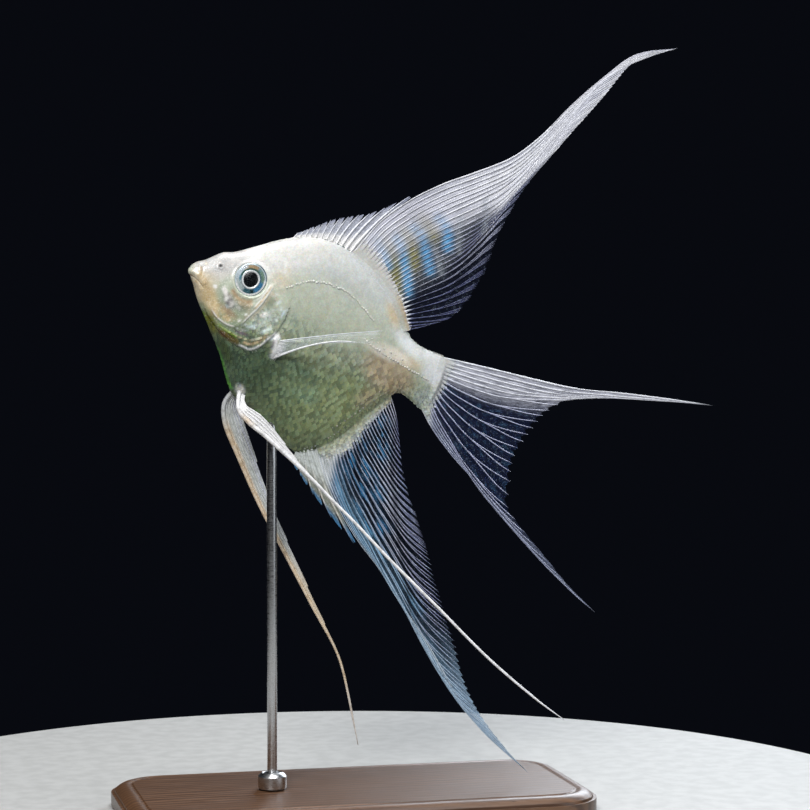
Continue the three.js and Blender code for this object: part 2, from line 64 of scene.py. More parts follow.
BACK = [
    (0, 1.9), (1, 3.1), (2.4, 4.2), (5.2, 7.2), (7.6, 8.5), (11.4, 11.6), (15.1, 14.7),
    (18.9, 17.2), (24.5, 19.3), (31, 19.4), (39.7, 16.7), (45, 13.7), (50.5, 8.3), (54, 7), (60, 7.1),
]
BELLY = [
    (0, -0.3), (1.2, -0.9), (4.3, -4.6), (8.8, -8.8), (13.3, -13), (19, -19.5), (22, -20.8),
    (26.4, -21.7), (32, -24), (38, -25.9), (44.4, -20.6), (49.1, -12.1), (53.1, -5.3), (55, -4.6),
    (60, -6),
]
HALF_WIDTH = [
    (0, 0.8), (1, 1.5), (2.4, 2), (5, 2.6), (9, 3.3), (13, 3.9), (18, 4.6), (23, 5), (30, 4.8),
    (38, 3.9), (45, 3), (50, 2.3), (55, 1.7), (60, 1.1),
]
WIDEST_LEVEL = [(0, 0.8), (6, 0), (14, -1.5), (24, -3), (36, -3), (46, 0), (60, 0.5)]
FLANK_ROUNDNESS = 1.2
EYE = {"x": 12.9, "z": 4.0, "radius": 3.5, "height": 3.7}
SIDES = ((-1, "left"), (1, "right"))

# Lines of the head and flank, each a list of (x, z).
GILL_EDGE = [
    (16.6, 18.5), (18.4, 12), (20.0, 7.6), (21.4, 5.2), (22.6, 1.6), (22.7, -1.5), (22.2, -4.3),
    (21.0, -7.2), (19.9, -9.0), (18.6, -10.0), (17.0, -10.0), (14.4, -9.6), (12.0, -8.9), (9.4, -7.6),
    (7.4, -6.2),
]
CHEEK_EDGE = [
    (17.9, 4.9), (17.5, 2.2), (17.1, 0.3), (16.4, -1.8), (15.6, -3.7), (14.9, -5.6), (14.0, -6.7),
    (12.4, -6.95), (11.0, -6.8), (9.4, -6.3), (7.8, -5.3),
]
EYE_HOLLOW = [
    (17.2, 4.6), (16.8, 2.6), (16.2, 1.1), (15.4, 0.1), (14.3, -0.6), (13.1, -0.9), (11.9, -0.8),
    (10.7, -0.1), (9.9, 0.8),
]
JAW_FOLD = [(5.4, -2.5), (6.9, -4.0), (8.0, -5.4), (9.0, -7.0), (9.6, -8.4)]
LIP_FOLD = [(1.7, 3.4), (2.3, 2.6), (2.7, 1.6), (2.9, 0.6), (3.0, -0.4)]
MOUTH = [(-0.6, -0.3), (0.6, -0.5), (1.9, -0.7), (3.2, -1.2), (4.4, -2.0)]
THROAT_FOLDS = [
    [(9.2, -7.0), (11.6, -8.0), (14.1, -8.3), (16.2, -8.4), (18.2, -8.0), (19.8, -6.7), (21.3, -4.4)],
    [(11.0, -9.3), (13.6, -9.9), (16.0, -10.3), (18.2, -10.2)],
]
NOSTRIL = (5.9, 4.1)
PECTORAL_ROOT = [(22.3, -4.4), (23.4, -6.6), (24.1, -10.0)]
LATERAL_LINE = [
    (20.6, 5.6), (22.2, 7.2), (24.6, 9.1), (27.8, 10.3), (31.1, 10.7), (34.6, 10.3), (38.2, 9.0),
    (41.4, 7.4),
]
LATERAL_LINE_REAR = [(41.2, 2.7), (44.0, 2.1), (47.6, 1.6), (51.2, 1.2), (55.4, 0.9), (58.6, 0.7)]


# ---- curves and small sums --------------------------------------------------------------------


def smooth(t):
    """Eases from 0 to 1."""
    t = np.clip(t, 0.0, 1.0)
    return t * t * (3 - 2 * t)


def mound(distance, width):
    """1 where the distance is 0, sinking softly to 0 at about twice the width."""
    return np.exp(-((distance / width) ** 2))


def shifted(line, x_way, z_way):
    return [(x + x_way, z + z_way) for x, z in line]


def length_of(curve):
    """Length of a smooth curve."""
    return np.linalg.norm(np.diff(curve(np.linspace(0, 1, 200)), axis=0), axis=1).sum()


def through(pairs):
    """Smooth curve through (x, value) pairs, as a function of x."""
    xs, ys = np.array(pairs, float).T
    last = len(xs) - 1
    before, after = np.maximum(np.arange(len(xs)) - 1, 0), np.minimum(np.arange(len(xs)) + 1, last)
    slopes = (ys[after] - ys[before]) / (xs[after] - xs[before])

    def value(x):
        i = np.clip(np.searchsorted(xs, x, side="right") - 1, 0, last - 1)
        width = xs[i + 1] - xs[i]
        t = np.clip((x - xs[i]) / width, 0, 1)
        keep = (1 + 2 * t) * (1 - t) ** 2 * ys[i] + t * t * (3 - 2 * t) * ys[i + 1]
        turn = t * (1 - t) ** 2 * slopes[i] - t * t * (1 - t) * slopes[i + 1]
        return keep + turn * width

    return value


def flowing(points, steps=40):
    """Smooth curve through points, as a function of the part of its length that is covered."""
    p = np.array(points, float)
    p = np.vstack([2 * p[0] - p[1], p, 2 * p[-1] - p[-2]])
    knots = np.concatenate([[0], np.cumsum(np.linalg.norm(np.diff(p, axis=0), axis=1) ** 0.5)])
    dense = []
    for i in range(1, len(p) - 2):
        t = np.linspace(knots[i], knots[i + 1], steps, endpoint=False)[:, None]
        t0, t1, t2, t3 = knots[i - 1 : i + 3]
        a1 = (t1 - t) / (t1 - t0) * p[i - 1] + (t - t0) / (t1 - t0) * p[i]
        a2 = (t2 - t) / (t2 - t1) * p[i] + (t - t1) / (t2 - t1) * p[i + 1]
        a3 = (t3 - t) / (t3 - t2) * p[i + 1] + (t - t2) / (t3 - t2) * p[i + 2]
        b1 = (t2 - t) / (t2 - t0) * a1 + (t - t0) / (t2 - t0) * a2
        b2 = (t3 - t) / (t3 - t1) * a2 + (t - t1) / (t3 - t1) * a3
        dense.append((t2 - t) / (t2 - t1) * b1 + (t - t1) / (t2 - t1) * b2)
    dense = np.vstack(dense + [p[-2:-1]])
    run = np.concatenate([[0], np.cumsum(np.linalg.norm(np.diff(dense, axis=0), axis=1))])
    run /= run[-1]

    def at(u):
        return np.stack([np.interp(u, run, dense[:, k]) for k in range(dense.shape[1])], -1)

    return at


def distance_to(line, x, z):
    """Distance from each (x, z) to a line, and on which side of it: positive is to the line's left."""
    dense = flowing(line)(np.linspace(0, 1, 60))
    best = np.full(np.shape(x), np.inf)
    side = np.ones(np.shape(x))
    for (ax, az), (bx, bz) in zip(dense[:-1], dense[1:]):
        along_x, along_z = bx - ax, bz - az
        t = ((x - ax) * along_x + (z - az) * along_z) / (along_x**2 + along_z**2)
        t = np.clip(t, 0, 1)
        gap = np.hypot(x - ax - t * along_x, z - az - t * along_z)
        nearer = gap < best
        best = np.where(nearer, gap, best)
        turn = along_x * (z - az) - along_z * (x - ax)
        side = np.where(nearer, np.sign(turn), side)
    return best, side


def in_room(points):
    """Points of the fish's own frame, in millimetres, as places above the base, in metres."""
    x, y, z = points[..., 0], points[..., 1], points[..., 2]
    c, s = math.cos(PITCH), math.sin(PITCH)
    room = [SNOUT[0] + x * c + z * s, SNOUT[1] + y, SNOUT[2] - x * s + z * c]
    return np.stack(room, -1) * MM


def unit(vectors):
    return vectors / np.maximum(np.linalg.norm(vectors, axis=-1, keepdims=True), 1e-9)


# ---- shader nodes -----------------------------------------------------------------------------


def spaced(inputs):
    return {name.replace("_", " "): value for name, value in inputs.items()}


class Finish:
    """A material, with a short way to add each of its nodes."""

    def __init__(self, name):
        self.material = bpy.data.materials.new(name)
        self.material.use_nodes = True
        self.tree = self.material.node_tree
        self.tree.nodes.clear()
        self.output = self.tree.nodes.new("ShaderNodeOutputMaterial")

    def feed(self, socket, value):
        if isinstance(value, bpy.types.NodeSocket):
            self.tree.links.new(value, socket)
        else:
            socket.default_value = value

    def put(self, kind, inputs=None, out=0, **settings):
        node = self.tree.nodes.new("ShaderNode" + kind)
        for name, value in settings.items():
            setattr(node, name, value)
        for key, value in (inputs or {}).items():
            self.feed(node.inputs[key], value)
        return node.outputs[out]

    def sum(self, operation, *values):
        return self.put("Math", dict(enumerate(values)), operation=operation)

    def mix(self, factor, a, b, blend="MIX"):
        inputs = {0: factor, 6: a, 7: b}
        return self.put("Mix", inputs, out=2, data_type="RGBA", blend_type=blend)

    def span(self, value, low, high, to_low=0.0, to_high=1.0):
        inputs = {0: value, 1: low, 2: high, 3: to_low, 4: to_high}
        return self.put("MapRange", inputs, interpolation_type="SMOOTHSTEP")

    def place(self):
        return self.put("TexCoord", out="Object")

    def noise(self, vector, scale, detail=3.0, roughness=0.5, out="Fac"):
        inputs = {"Vector": vector, "Scale": scale, "Detail": detail, "Roughness": roughness}
        return self.put("TexNoise", inputs, out=out)

    def cells(self, vector, scale):
        return self.put("TexVoronoi", {"Vector": vector, "Scale": scale}, out="Distance")

    def stretched(self, vector, *factors):
        return self.put("VectorMath", {0: vector, 1: factors}, operation="MULTIPLY")

    def bands(self, vector, **inputs):
        return self.put("TexWave", {"Vector": vector, **spaced(inputs)}, out="Fac", bands_direction="Y")

    def attribute(self, name, out="Color"):
        return self.put("Attribute", out=out, attribute_name=name)

    def bump(self, height, strength, distance, below=None):
        inputs = {"Height": height, "Strength": strength, "Distance": distance}
        if below is not None:
            inputs["Normal"] = below
        return self.put("Bump", inputs)

    def surface(self, **inputs):
        shader = self.put("BsdfPrincipled", spaced(inputs))
        self.tree.links.new(shader, self.output.inputs["Surface"])
        return self.material


# ---- making and finishing pieces --------------------------------------------------------------


def clear_selection():
    bpy.ops.object.select_all(action="DESELECT")


def select_only(piece):
    clear_selection()
    bpy.context.view_layer.objects.active = piece
    piece.select_set(True)


def coordinates(mesh):
    flat = np.empty(len(mesh.vertices) * 3)
    mesh.vertices.foreach_get("co", flat)
    return flat.reshape(-1, 3)


def loop_vertices(mesh):
    index = np.empty(len(mesh.loops), np.int32)
    mesh.loops.foreach_get("vertex_index", index)
    return index


def lay_out(mesh, name, uv, per_loop=False):
    """Writes a UV map from one (u, v) for each vertex, or for each corner."""
    layer = mesh.uv_layers.get(name) or mesh.uv_layers.new(name=name)
    corners = uv if per_loop else uv[loop_vertices(mesh)]
    layer.data.foreach_set("uv", np.ascontiguousarray(corners, np.float32).ravel())


def tint(mesh, name, colours):
    """Writes a colour for each vertex, with 1 as the fourth number where only three are given."""
    rgba = np.ones((len(mesh.vertices), 4), np.float32)
    rgba[:, : colours.shape[1]] = colours
    layer = mesh.color_attributes.new(name, "FLOAT_COLOR", "POINT")
    layer.data.foreach_set("color", rgba.ravel())


def array_mesh(name, places, faces):
    """A mesh of many joined parts, from an array of places in metres and lists of corners."""
    mesh = bpy.data.meshes.new(name)
    sizes = np.array([len(f) for f in faces], np.int32)
    starts = np.concatenate([[0], np.cumsum(sizes)[:-1]]).astype(np.int32)
    corners = np.concatenate([np.asarray(f, np.int32) for f in faces])
    mesh.vertices.add(len(places))
    mesh.loops.add(len(corners))
    mesh.polygons.add(len(sizes))
    mesh.vertices.foreach_set("co", np.asarray(places, float).ravel())
    mesh.loops.foreach_set("vertex_index", corners)
    mesh.polygons.foreach_set("loop_start", starts)
    mesh.polygons.foreach_set("loop_total", sizes)
    mesh.update(calc_edges=True)
    piece = bpy.data.objects.new(name, mesh)
    bpy.context.scene.collection.objects.link(piece)
    return piece


def face_outward(piece):
    select_only(piece)
    bpy.ops.object.mode_set(mode="EDIT")
    bpy.ops.mesh.select_all(action="SELECT")
    bpy.ops.mesh.normals_make_consistent(inside=False)
    bpy.ops.object.mode_set(mode="OBJECT")


def finish_piece(piece, material, nodes=(), smooth_shading=True):
    piece.data.materials.clear()
    piece.data.materials.append(material)
    if smooth_shading:
        piece.data.polygons.foreach_set("use_smooth", [True] * len(piece.data.polygons))
    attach(piece, "root")
    if nodes:
        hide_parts(*nodes)


# ---- the body's surface -----------------------------------------------------------------------

back = through(BACK)
belly = through(BELLY)
half_width = through(HALF_WIDTH)
widest_level = through(WIDEST_LEVEL)


def full_body(x, angle):
    """A point of the full body: angle 0 is the left flank, a quarter turn up is the back."""
    level = widest_level(x)
    rise, lean = np.sin(angle), np.cos(angle)
    reach = np.where(rise > 0, back(x) - level, level - belly(x))
    side = np.sign(lean) * np.abs(lean) ** FLANK_ROUNDNESS
    return np.stack([x + 0 * angle, -half_width(x) * side, level + reach * rise], -1)


def taper(line, x, z, width, fade=0.25):
    """1 along a line, sinking away on both sides of it and toward both of its ends."""
    dense = flowing(line)(np.linspace(0, 1, 60))
    gaps = np.hypot(x[..., None] - dense[:, 0], z[..., None] - dense[:, 1])
    along = gaps.argmin(-1) / 59
    return mound(gaps.min(-1), width) * smooth(along / fade) * smooth((1 - along) / fade)


# Folds and rims of the head: (line, width, height, part of the line that fades at each end).
HEAD_FOLDS = [
    (CHEEK_EDGE, 0.16, 0.09, 0.25),
    (EYE_HOLLOW, 0.2, 0.07, 0.25),
    (MOUTH, 0.14, -0.1, 0.02),
    (shifted(MOUTH, 0, 0.75), 0.6, 0.12, 0.05),  # upper lip
    (shifted(MOUTH, 0, -0.7), 0.5, 0.1, 0.05),  # lower lip
    (LIP_FOLD, 0.22, -0.06, 0.25),
    (shifted(LIP_FOLD, -0.6, 0), 0.4, 0.08, 0.25),
    (JAW_FOLD, 0.3, -0.05, 0.25),
    (THROAT_FOLDS[0], 0.2, 0.09, 0.25),
    (THROAT_FOLDS[1], 0.2, 0.09, 0.25),
]


def plate_edges(x, z):
    """The steps at the edges of the gill cover and of the cheek plate."""
    gap, side = distance_to(GILL_EDGE, x, z)
    ahead = side < 0
    plate = 0.34 * smooth(1 - gap / np.where(ahead, 3.4, 0.5))
    groove = np.where(ahead, 0, 0.08 * mound(gap - 0.6, 0.3))
    gill = (plate - groove) * smooth((5.5 - z) / 7)
    gap, side = distance_to(CHEEK_EDGE, x, z)
    near = smooth(1 - gap / np.where(side < 0, 2.4, 0.3))
    return gill + 0.2 * near * smooth((5.4 - z) / 1.2) * smooth((x - 7.2) / 1.6)


def eye_socket(x, z, out):
    """Flattens the skin around the eye, raises the socket's rim and sinks what lies inside it."""
    spread = np.hypot((x - EYE["x"]) / EYE["radius"], (z - EYE["z"]) / EYE["height"])
    out = out * (1 - 0.9 * smooth((1.25 - spread) / 0.2)) + 0.12 * mound(spread - 1.08, 0.07)
    out -= 0.08 * mound(spread - 1.3, 0.07) * smooth((EYE["z"] - z) / 2)
    return out - 1.6 * smooth((1.0 - spread) / 0.16)


def relief(x, z):
    """How far the skin stands out of the plain flank: gill cover, cheek, lips, eye socket, folds."""
    height = np.zeros(np.shape(x))
    head = x < HEAD_END
    hx, hz = x[head], z[head]
    out = plate_edges(hx, hz)
    for line, width, rise, fade in HEAD_FOLDS:
        out += rise * taper(line, hx, hz, width, fade)
    away = np.hypot(hx - NOSTRIL[0], (hz - NOSTRIL[1]) * 1.15)
    out += 0.1 * mound(away - 0.55, 0.18) - 0.42 * mound(away, 0.3)
    height[head] = eye_socket(hx, hz, out) + 0.5 * taper(PECTORAL_ROOT, hx, hz, 0.8, 0.3)
    return height


def skin_point(x, angle):
    """A point of the bare skin, just inside the full body."""
    base = full_body(x, angle)
    step = 1e-3
    along = full_body(x + step, angle) - full_body(x - step, angle)
    around = full_body(x, angle + step) - full_body(x, angle - step)
    out = unit(np.cross(around, along))
    middle = np.stack([x + 0 * angle, 0 * x + 0 * angle, widest_level(x) + 0 * angle], -1)
    out *= np.sign(np.sum(out * (base - middle), -1, keepdims=True) + 1e-12)
    return base + out * (relief(base[..., 0], base[..., 2]) - COAT_DEPTH)[..., None]


def around_skin(x, z, side):
    """Angles around the body at which one of its sides passes through each (x, z)."""
    level = widest_level(x)
    reach = np.where(z > level, back(x) - level, level - belly(x))
    angle = np.arcsin(np.clip((z - level) / reach, -1, 1))
    return angle if side < 0 else math.pi - angle


# ---- the painter's patches: where each colour of the body lies --------------------------------

# The flank's ground colour at each height, from the belly up.
GROUND = [
    (-24, (0.13, 0.17, 0.085)), (-14, (0.145, 0.205, 0.118)), (-9, (0.155, 0.21, 0.124)),
    (-5, (0.285, 0.34, 0.225)), (-1, (0.36, 0.41, 0.315)), (3, (0.48, 0.525, 0.425)),
    (8, (0.52, 0.56, 0.48)), (13, (0.54, 0.57, 0.56)), (18, (0.62, 0.64, 0.65)),
]
# (x, z, reach along, reach across, tilt in degrees, softness, colour, strength)
PATCHES = [
    (43, -13, 15, 11, 40, 0.9, (0.25, 0.305, 0.155), 0.95),  # olive hind belly
    (20, -13, 11, 9, -40, 0.7, (0.058, 0.092, 0.055), 0.95),  # dark green breast
    (34.6, -14, 4.5, 2.6, 20, 1.0, (0.24, 0.35, 0.22), 0.7),
    (30, -9.2, 7, 1.6, -8, 1.0, (0.07, 0.115, 0.075), 0.7),  # shade under the side fin
    (24.5, -1, 7, 2.6, 0, 1.0, (0.26, 0.32, 0.25), 0.6),
    (49.5, -1.6, 9.0, 6.0, -8, 0.6, (0.42, 0.34, 0.23), 0.95),  # brown hind flank
    (47.5, -8.5, 5, 3.4, 55, 0.9, (0.36, 0.31, 0.20), 0.8),
    (53.5, 2.8, 5.0, 2.2, -10, 1.0, (0.66, 0.52, 0.36), 0.8),
    (45.6, 10.2, 5.2, 1.9, -46, 0.9, (0.66, 0.50, 0.31), 0.8),  # tan edge of the hind back
    (45.8, 1.8, 5.8, 1.7, -8, 0.9, (0.88, 0.84, 0.76), 0.9),
    (29, 16.4, 16, 5, -3, 0.9, (0.62, 0.65, 0.66), 0.7),
    (17, 14, 18, 8.5, 38, 0.6, (0.66, 0.66, 0.65), 1.0),  # white nape
    (6, 5.6, 9, 5, 50, 0.6, (0.41, 0.405, 0.40), 1.0),  # white snout top
    (2.2, 2.4, 3.0, 2.6, 0, 0.9, (0.38, 0.37, 0.355), 0.85),
    (6.3, 1.7, 2.6, 1.5, 40, 1.0, (0.60, 0.58, 0.54), 0.65),
    (19.2, 6.8, 3.6, 3.2, 30, 1.0, (0.64, 0.55, 0.42), 0.6),  # tan behind the eye
    (3.2, -2.0, 4.6, 5.6, -42, 0.7, (0.68, 0.57, 0.40), 0.9),  # cream snout
    (6.4, -3.2, 5.6, 2.4, -42, 0.8, (0.60, 0.45, 0.24), 0.9),
    (7.9, -4.6, 2.8, 1.3, -42, 0.8, (0.72, 0.59, 0.38), 0.7),
    (11.2, -4.3, 3.6, 1.2, -18, 0.8, (0.36, 0.26, 0.16), 0.9),  # brown lower cheek
    (12.4, -2.4, 3.2, 1.3, -12, 0.9, (0.26, 0.30, 0.25), 0.9),
    (10.5, -2.1, 2.8, 1.4, -42, 0.7, (0.12, 0.115, 0.13), 0.95),  # grey hollow
    (9.0, -0.7, 1.6, 0.8, -52, 0.9, (0.88, 0.84, 0.82), 0.95),  # pearls before the eye
    (6.5, -0.5, 0.8, 0.7, 0, 0.9, (0.92, 0.90, 0.88), 0.9),
    (10.6, -3.4, 0.8, 0.5, -30, 1.0, (0.45, 0.55, 0.60), 0.7),
    (18.4, -2.6, 4.4, 4.4, 10, 0.8, (0.37, 0.43, 0.37), 0.85),  # gill cover
    (18.0, 1.6, 2.8, 2.6, 0, 1.0, (0.20, 0.23, 0.17), 0.8),
    (14.3, -1.9, 2.4, 1.6, 30, 0.9, (0.12, 0.145, 0.09), 0.9),
    (18.6, -1.8, 1.3, 0.9, 50, 0.8, (0.90, 0.91, 0.90), 0.95),  # pearls of the gill cover
    (20.4, 2.0, 1.3, 0.6, 60, 0.9, (0.72, 0.80, 0.82), 0.8),
    # painted glint along the gill cover's rear edge
    (22.2, 0.2, 1.9, 0.45, 80, 0.9, (0.62, 0.75, 0.85), 0.8),
    (20.4, -4.6, 2.2, 0.8, 52, 0.9, (0.60, 0.72, 0.74), 0.7),
    (22.2, -5.7, 1.2, 0.6, 60, 0.9, (0.60, 0.70, 0.78), 0.8),
    (15.0, -3.4, 0.5, 0.5, 0, 0.9, (0.95, 0.95, 0.94), 0.95),
    (17.4, -5.0, 1.8, 0.9, 40, 0.9, (0.42, 0.52, 0.52), 0.8),
    (12.3, -5.9, 0.5, 0.3, 50, 0.9, (0.85, 0.80, 0.74), 0.8),
    (14.2, -5.2, 0.6, 0.3, 50, 0.9, (0.85, 0.82, 0.78), 0.8),
    (15.8, -7.4, 2.4, 0.6, 5, 0.8, (0.13, 0.10, 0.13), 0.85),  # shade under the cheek
    (9.0, -8.2, 4.2, 1.7, -42, 0.7, (0.12, 0.125, 0.01), 0.95),  # olive throat
    (13.6, -9.2, 4.4, 1.2, -10, 0.7, (0.11, 0.075, 0.015), 0.9),
    (12.3, -9.2, 1.5, 0.5, -20, 0.9, (0.10, 0.03, 0.012), 0.8),  # red of the gills
    (14, -12.2, 5, 1.8, -42, 0.7, (0.035, 0.055, 0.014), 0.9),
    (20.9, -18.6, 2.0, 1.4, -40, 0.9, (0.80, 0.80, 0.82), 0.85),  # pale skin around the belly fins
    (49.6, 2.7, 5.8, 2.0, -8, 0.8, (0.94, 0.87, 0.76), 0.9),
    (51.5, 6.0, 7.0, 2.8, -22, 0.8, (0.84, 0.88, 0.92), 0.95),
    (58.2, 5.6, 7, 2.8, -8, 0.7, (0.78, 0.80, 0.82), 1.0),  # white root of the tail
    (60.8, 2.8, 5.6, 4.0, 0, 0.5, (0.74, 0.77, 0.80), 1.0),
    (60.5, -3.4, 4.4, 3.6, 0, 0.6, (0.36, 0.42, 0.40), 0.9),
    (52.6, -5.0, 3.0, 1.0, -10, 0.9, (0.42, 0.32, 0.16), 0.8),
]
# (line, width, colour, strength)
BRUSH_LINES = [
    (EYE_HOLLOW[3:], 0.5, (0.40, 0.26, 0.14), 0.85),
    (shifted(EYE_HOLLOW[3:7], 0.2, -0.7), 0.3, (0.72, 0.58, 0.40), 0.8),
    (EYE_HOLLOW[:4], 0.16, (0.90, 0.88, 0.84), 0.8),
    (shifted(CHEEK_EDGE[:5], 0.5, -0.5), 0.3, (0.50, 0.42, 0.30), 0.6),
    (shifted(CHEEK_EDGE[1:6], -0.5, -0.1), 0.3, (0.24, 0.25, 0.19), 0.6),
    (CHEEK_EDGE[:6], 0.15, (0.95, 0.95, 0.94), 0.95),
    (shifted(CHEEK_EDGE[:4], -0.3, 0.1), 0.16, (0.58, 0.38, 0.18), 0.7),
    (shifted(CHEEK_EDGE[:4], -0.62, 0.22), 0.14, (0.88, 0.86, 0.82), 0.7),
    (CHEEK_EDGE[6:], 0.15, (0.90, 0.88, 0.86), 0.9),
    ([(10.2, -7.5), (11.6, -8.0), (13.4, -8.3), (15.4, -8.7)], 0.26, (0.16, 0.36, 0.015), 0.9),
    (THROAT_FOLDS[0], 0.16, (0.40, 0.33, 0.20), 0.6),
    ([(16.6, -9.1), (18.4, -8.8), (19.9, -7.5), (21.2, -5.2)], 0.3, (0.55, 0.40, 0.24), 0.8),
    ([(15.9, -10.0), (17.0, -9.9), (18.6, -9.9), (20.1, -8.7), (21.1, -6.9), (21.9, -4.8)], 0.2,
     (0.94, 0.96, 0.97), 0.95),
    (MOUTH, 0.2, (0.56, 0.46, 0.34), 0.4),
    ([(6.2, -6.2), (8.0, -8.2), (10.3, -10.6), (12.2, -11.9)], 0.3, (0.14, 0.34, 0.01), 0.95),
    ([(11.6, -11.5), (14.2, -13.9), (17.2, -17.4), (19.6, -19.6)], 0.36, (0.08, 0.36, 0.006), 0.95),
    ([(25.2, -21.1), (28.5, -22.3), (33, -24.0)], 0.4, (0.09, 0.24, 0.01), 0.8),
    ([(18.3, 11.2), (18.7, 9.6), (19.2, 8.2)], 0.4, (0.92, 0.93, 0.94), 0.5),
    (PECTORAL_ROOT, 0.6, (0.74, 0.74, 0.76), 0.9),
    ([(21.9, -4.6), (23.0, -4.7), (23.8, -5.4)], 0.5, (0.86, 0.86, 0.86), 0.9),
    # painted shade in the slot in front of the side fin's root
    ([(22.7, -5.9), (22.9, -6.8), (23.1, -7.8)], 0.3, (0.15, 0.13, 0.16), 0.8),
]


# (line of (x, z), spread across it, count, colours from and to, strength): spots scattered at random
SCATTER = [
    ([(2.6, 2.2), (3.6, -0.6), (5.6, -3.0), (8.8, -5.0), (12.6, -6.0)], 0.9, 90,
     (0.42, 0.29, 0.13), (0.58, 0.44, 0.24), 0.55),
    ([(8.2, 0.6), (9.2, -1.2), (10.6, -2.4), (12.4, -3.0)], 0.8, 22,
     (0.62, 0.60, 0.56), (0.92, 0.90, 0.88), 0.55),
    ([(10.6, -1.0), (12.6, -1.4), (14.4, -1.6), (15.4, -3.2)], 0.7, 26,
     (0.16, 0.19, 0.13), (0.44, 0.34, 0.22), 0.5),
    ([(12.6, -5.4), (15.4, -5.8), (18.4, -4.2), (20.6, -1.6), (21.6, 1.8)], 1.1, 36,
     (0.44, 0.56, 0.56), (0.86, 0.90, 0.92), 0.55),
    ([(18.0, 9.0), (18.6, 5.4), (19.6, 2.4)], 1.6, 40, (0.66, 0.52, 0.34), (0.90, 0.88, 0.86), 0.5),
]


def scattered_spots():
    """The freckles and pearls of the head: rows of (x, z, radius, red, green, blue, strength)."""
    rng = np.random.default_rng(12)
    found = []
    for line, spread, count, dark, light, strength in SCATTER:
        places = flowing(line)(rng.random(count)) + rng.normal(0, spread * 0.6, (count, 2))
        shades = np.array(dark) + (np.array(light) - dark) * rng.random((count, 1))
        radii = rng.uniform(0.16, 0.42, (count, 1))
        found.append(np.hstack([places, radii, shades, np.full((count, 1), strength)]))
    return np.vstack(found)


SPOTS = scattered_spots()


def lay_over(colours, shade, cover):
    """Lays a shade over colours, as thickly as its cover says."""
    colours += (np.array(shade) - colours) * cover[..., None]


def flesh_colour(x, z):
    """The painted colour of the body at each (x, z)."""
    heights, tones = zip(*GROUND)
    colour = np.stack([np.interp(z, heights, channel) for channel in zip(*tones)], -1)
    for cx, cz, along, across, tilt, soft, shade, strength in PATCHES:
        c, s = math.cos(math.radians(tilt)), math.sin(math.radians(tilt))
        u = ((x - cx) * c + (z - cz) * s) / along
        v = (-(x - cx) * s + (z - cz) * c) / across
        lay_over(colour, shade, strength * smooth((1 - np.hypot(u, v)) / soft))
    for line, width, shade, strength in BRUSH_LINES:
        lay_over(colour, shade, strength * taper(line, x, z, width, 0.12))
    head = x < GILL_END
    spotted = colour[head]
    for cx, cz, radius, *shade, strength in SPOTS:
        lay_over(spotted, shade, strength * mound(np.hypot(x[head] - cx, z[head] - cz), radius))
    colour[head] = spotted
    # painted shade: the colour darkens inside the nostril's pit
    away = np.hypot(x - NOSTRIL[0], z - NOSTRIL[1])
    colour *= (1 - 0.75 * mound(away, 0.35))[..., None]
    return colour


# ---- skin -------------------------------------------------------------------------------------

FLESH_NODES = (
    "upper_lip", "lower_jaw", "head", "gill_cover_left", "gill_cover_right", "trunk", "tail_stem",
)
SKIN_AROUND, SKIN_ALONG = 256, 320
CROWDING = 0.45  # 0 spaces the skin's rings evenly, more crowds them toward the snout
TIP_ROUNDING = 0.016  # part of the rings that round off the snout and the tail's root


def station(t):
    return BODY_LENGTH * (CROWDING * t * t + (1 - CROWDING) * t)


def unwrapped(t, angle):
    """The skin's own flat layout: along the fish, and around it from the belly."""
    return np.stack([t, (angle / (2 * math.pi) + 0.25) % 1.0], -1)


def skin_finish():
    f = Finish("pearly skin")
    place = f.place()
    markings = f.attribute("markings")
    mottle = f.noise(place, 900.0, 4.0, 0.65)
    grain = f.noise(place, 4200.0, 2.0, 0.6)
    flecks = f.cells(place, 2300.0)
    lighter = f.mix(f.span(mottle, 0.35, 0.7, 0.0, 0.55), markings, (0.92, 0.9, 0.86, 1), "SOFT_LIGHT")
    speckled = f.mix(f.span(flecks, 0.0, 0.45, 0.35, 0.0), lighter, (0.95, 0.94, 0.92, 1), "SCREEN")
    toned = f.mix(f.span(grain, 0.3, 0.7, 0.3, 0.0), speckled, (0.5, 0.47, 0.4, 1), "MULTIPLY")
    pores = f.bump(flecks, 0.25, 0.00006)
    bumps = f.bump(mottle, 0.2, 0.0001, pores)
    return f.surface(
        Base_Color=toned, Roughness=f.span(mottle, 0.3, 0.7, 0.3, 0.46), Normal=bumps,
        Subsurface_Weight=0.12, Subsurface_Radius=(1.0, 0.55, 0.4), Subsurface_Scale=0.0006,
        Coat_Weight=0.25, Coat_Roughness=0.22,
    )


def closed_layout(mesh, flat):
    """The flat layout corner by corner, with no face stretched back over it at the seam."""
    flat = flat[loop_vertices(mesh)]
    sizes = np.array([face.loop_total for face in mesh.polygons])
    face_of = np.repeat(np.arange(len(sizes)), sizes)
    highest = np.zeros(len(sizes))
    np.maximum.at(highest, face_of, flat[:, 1])
    flat[:, 1] += (highest[face_of] > 0.8) & (flat[:, 1] < 0.2)
    return flat


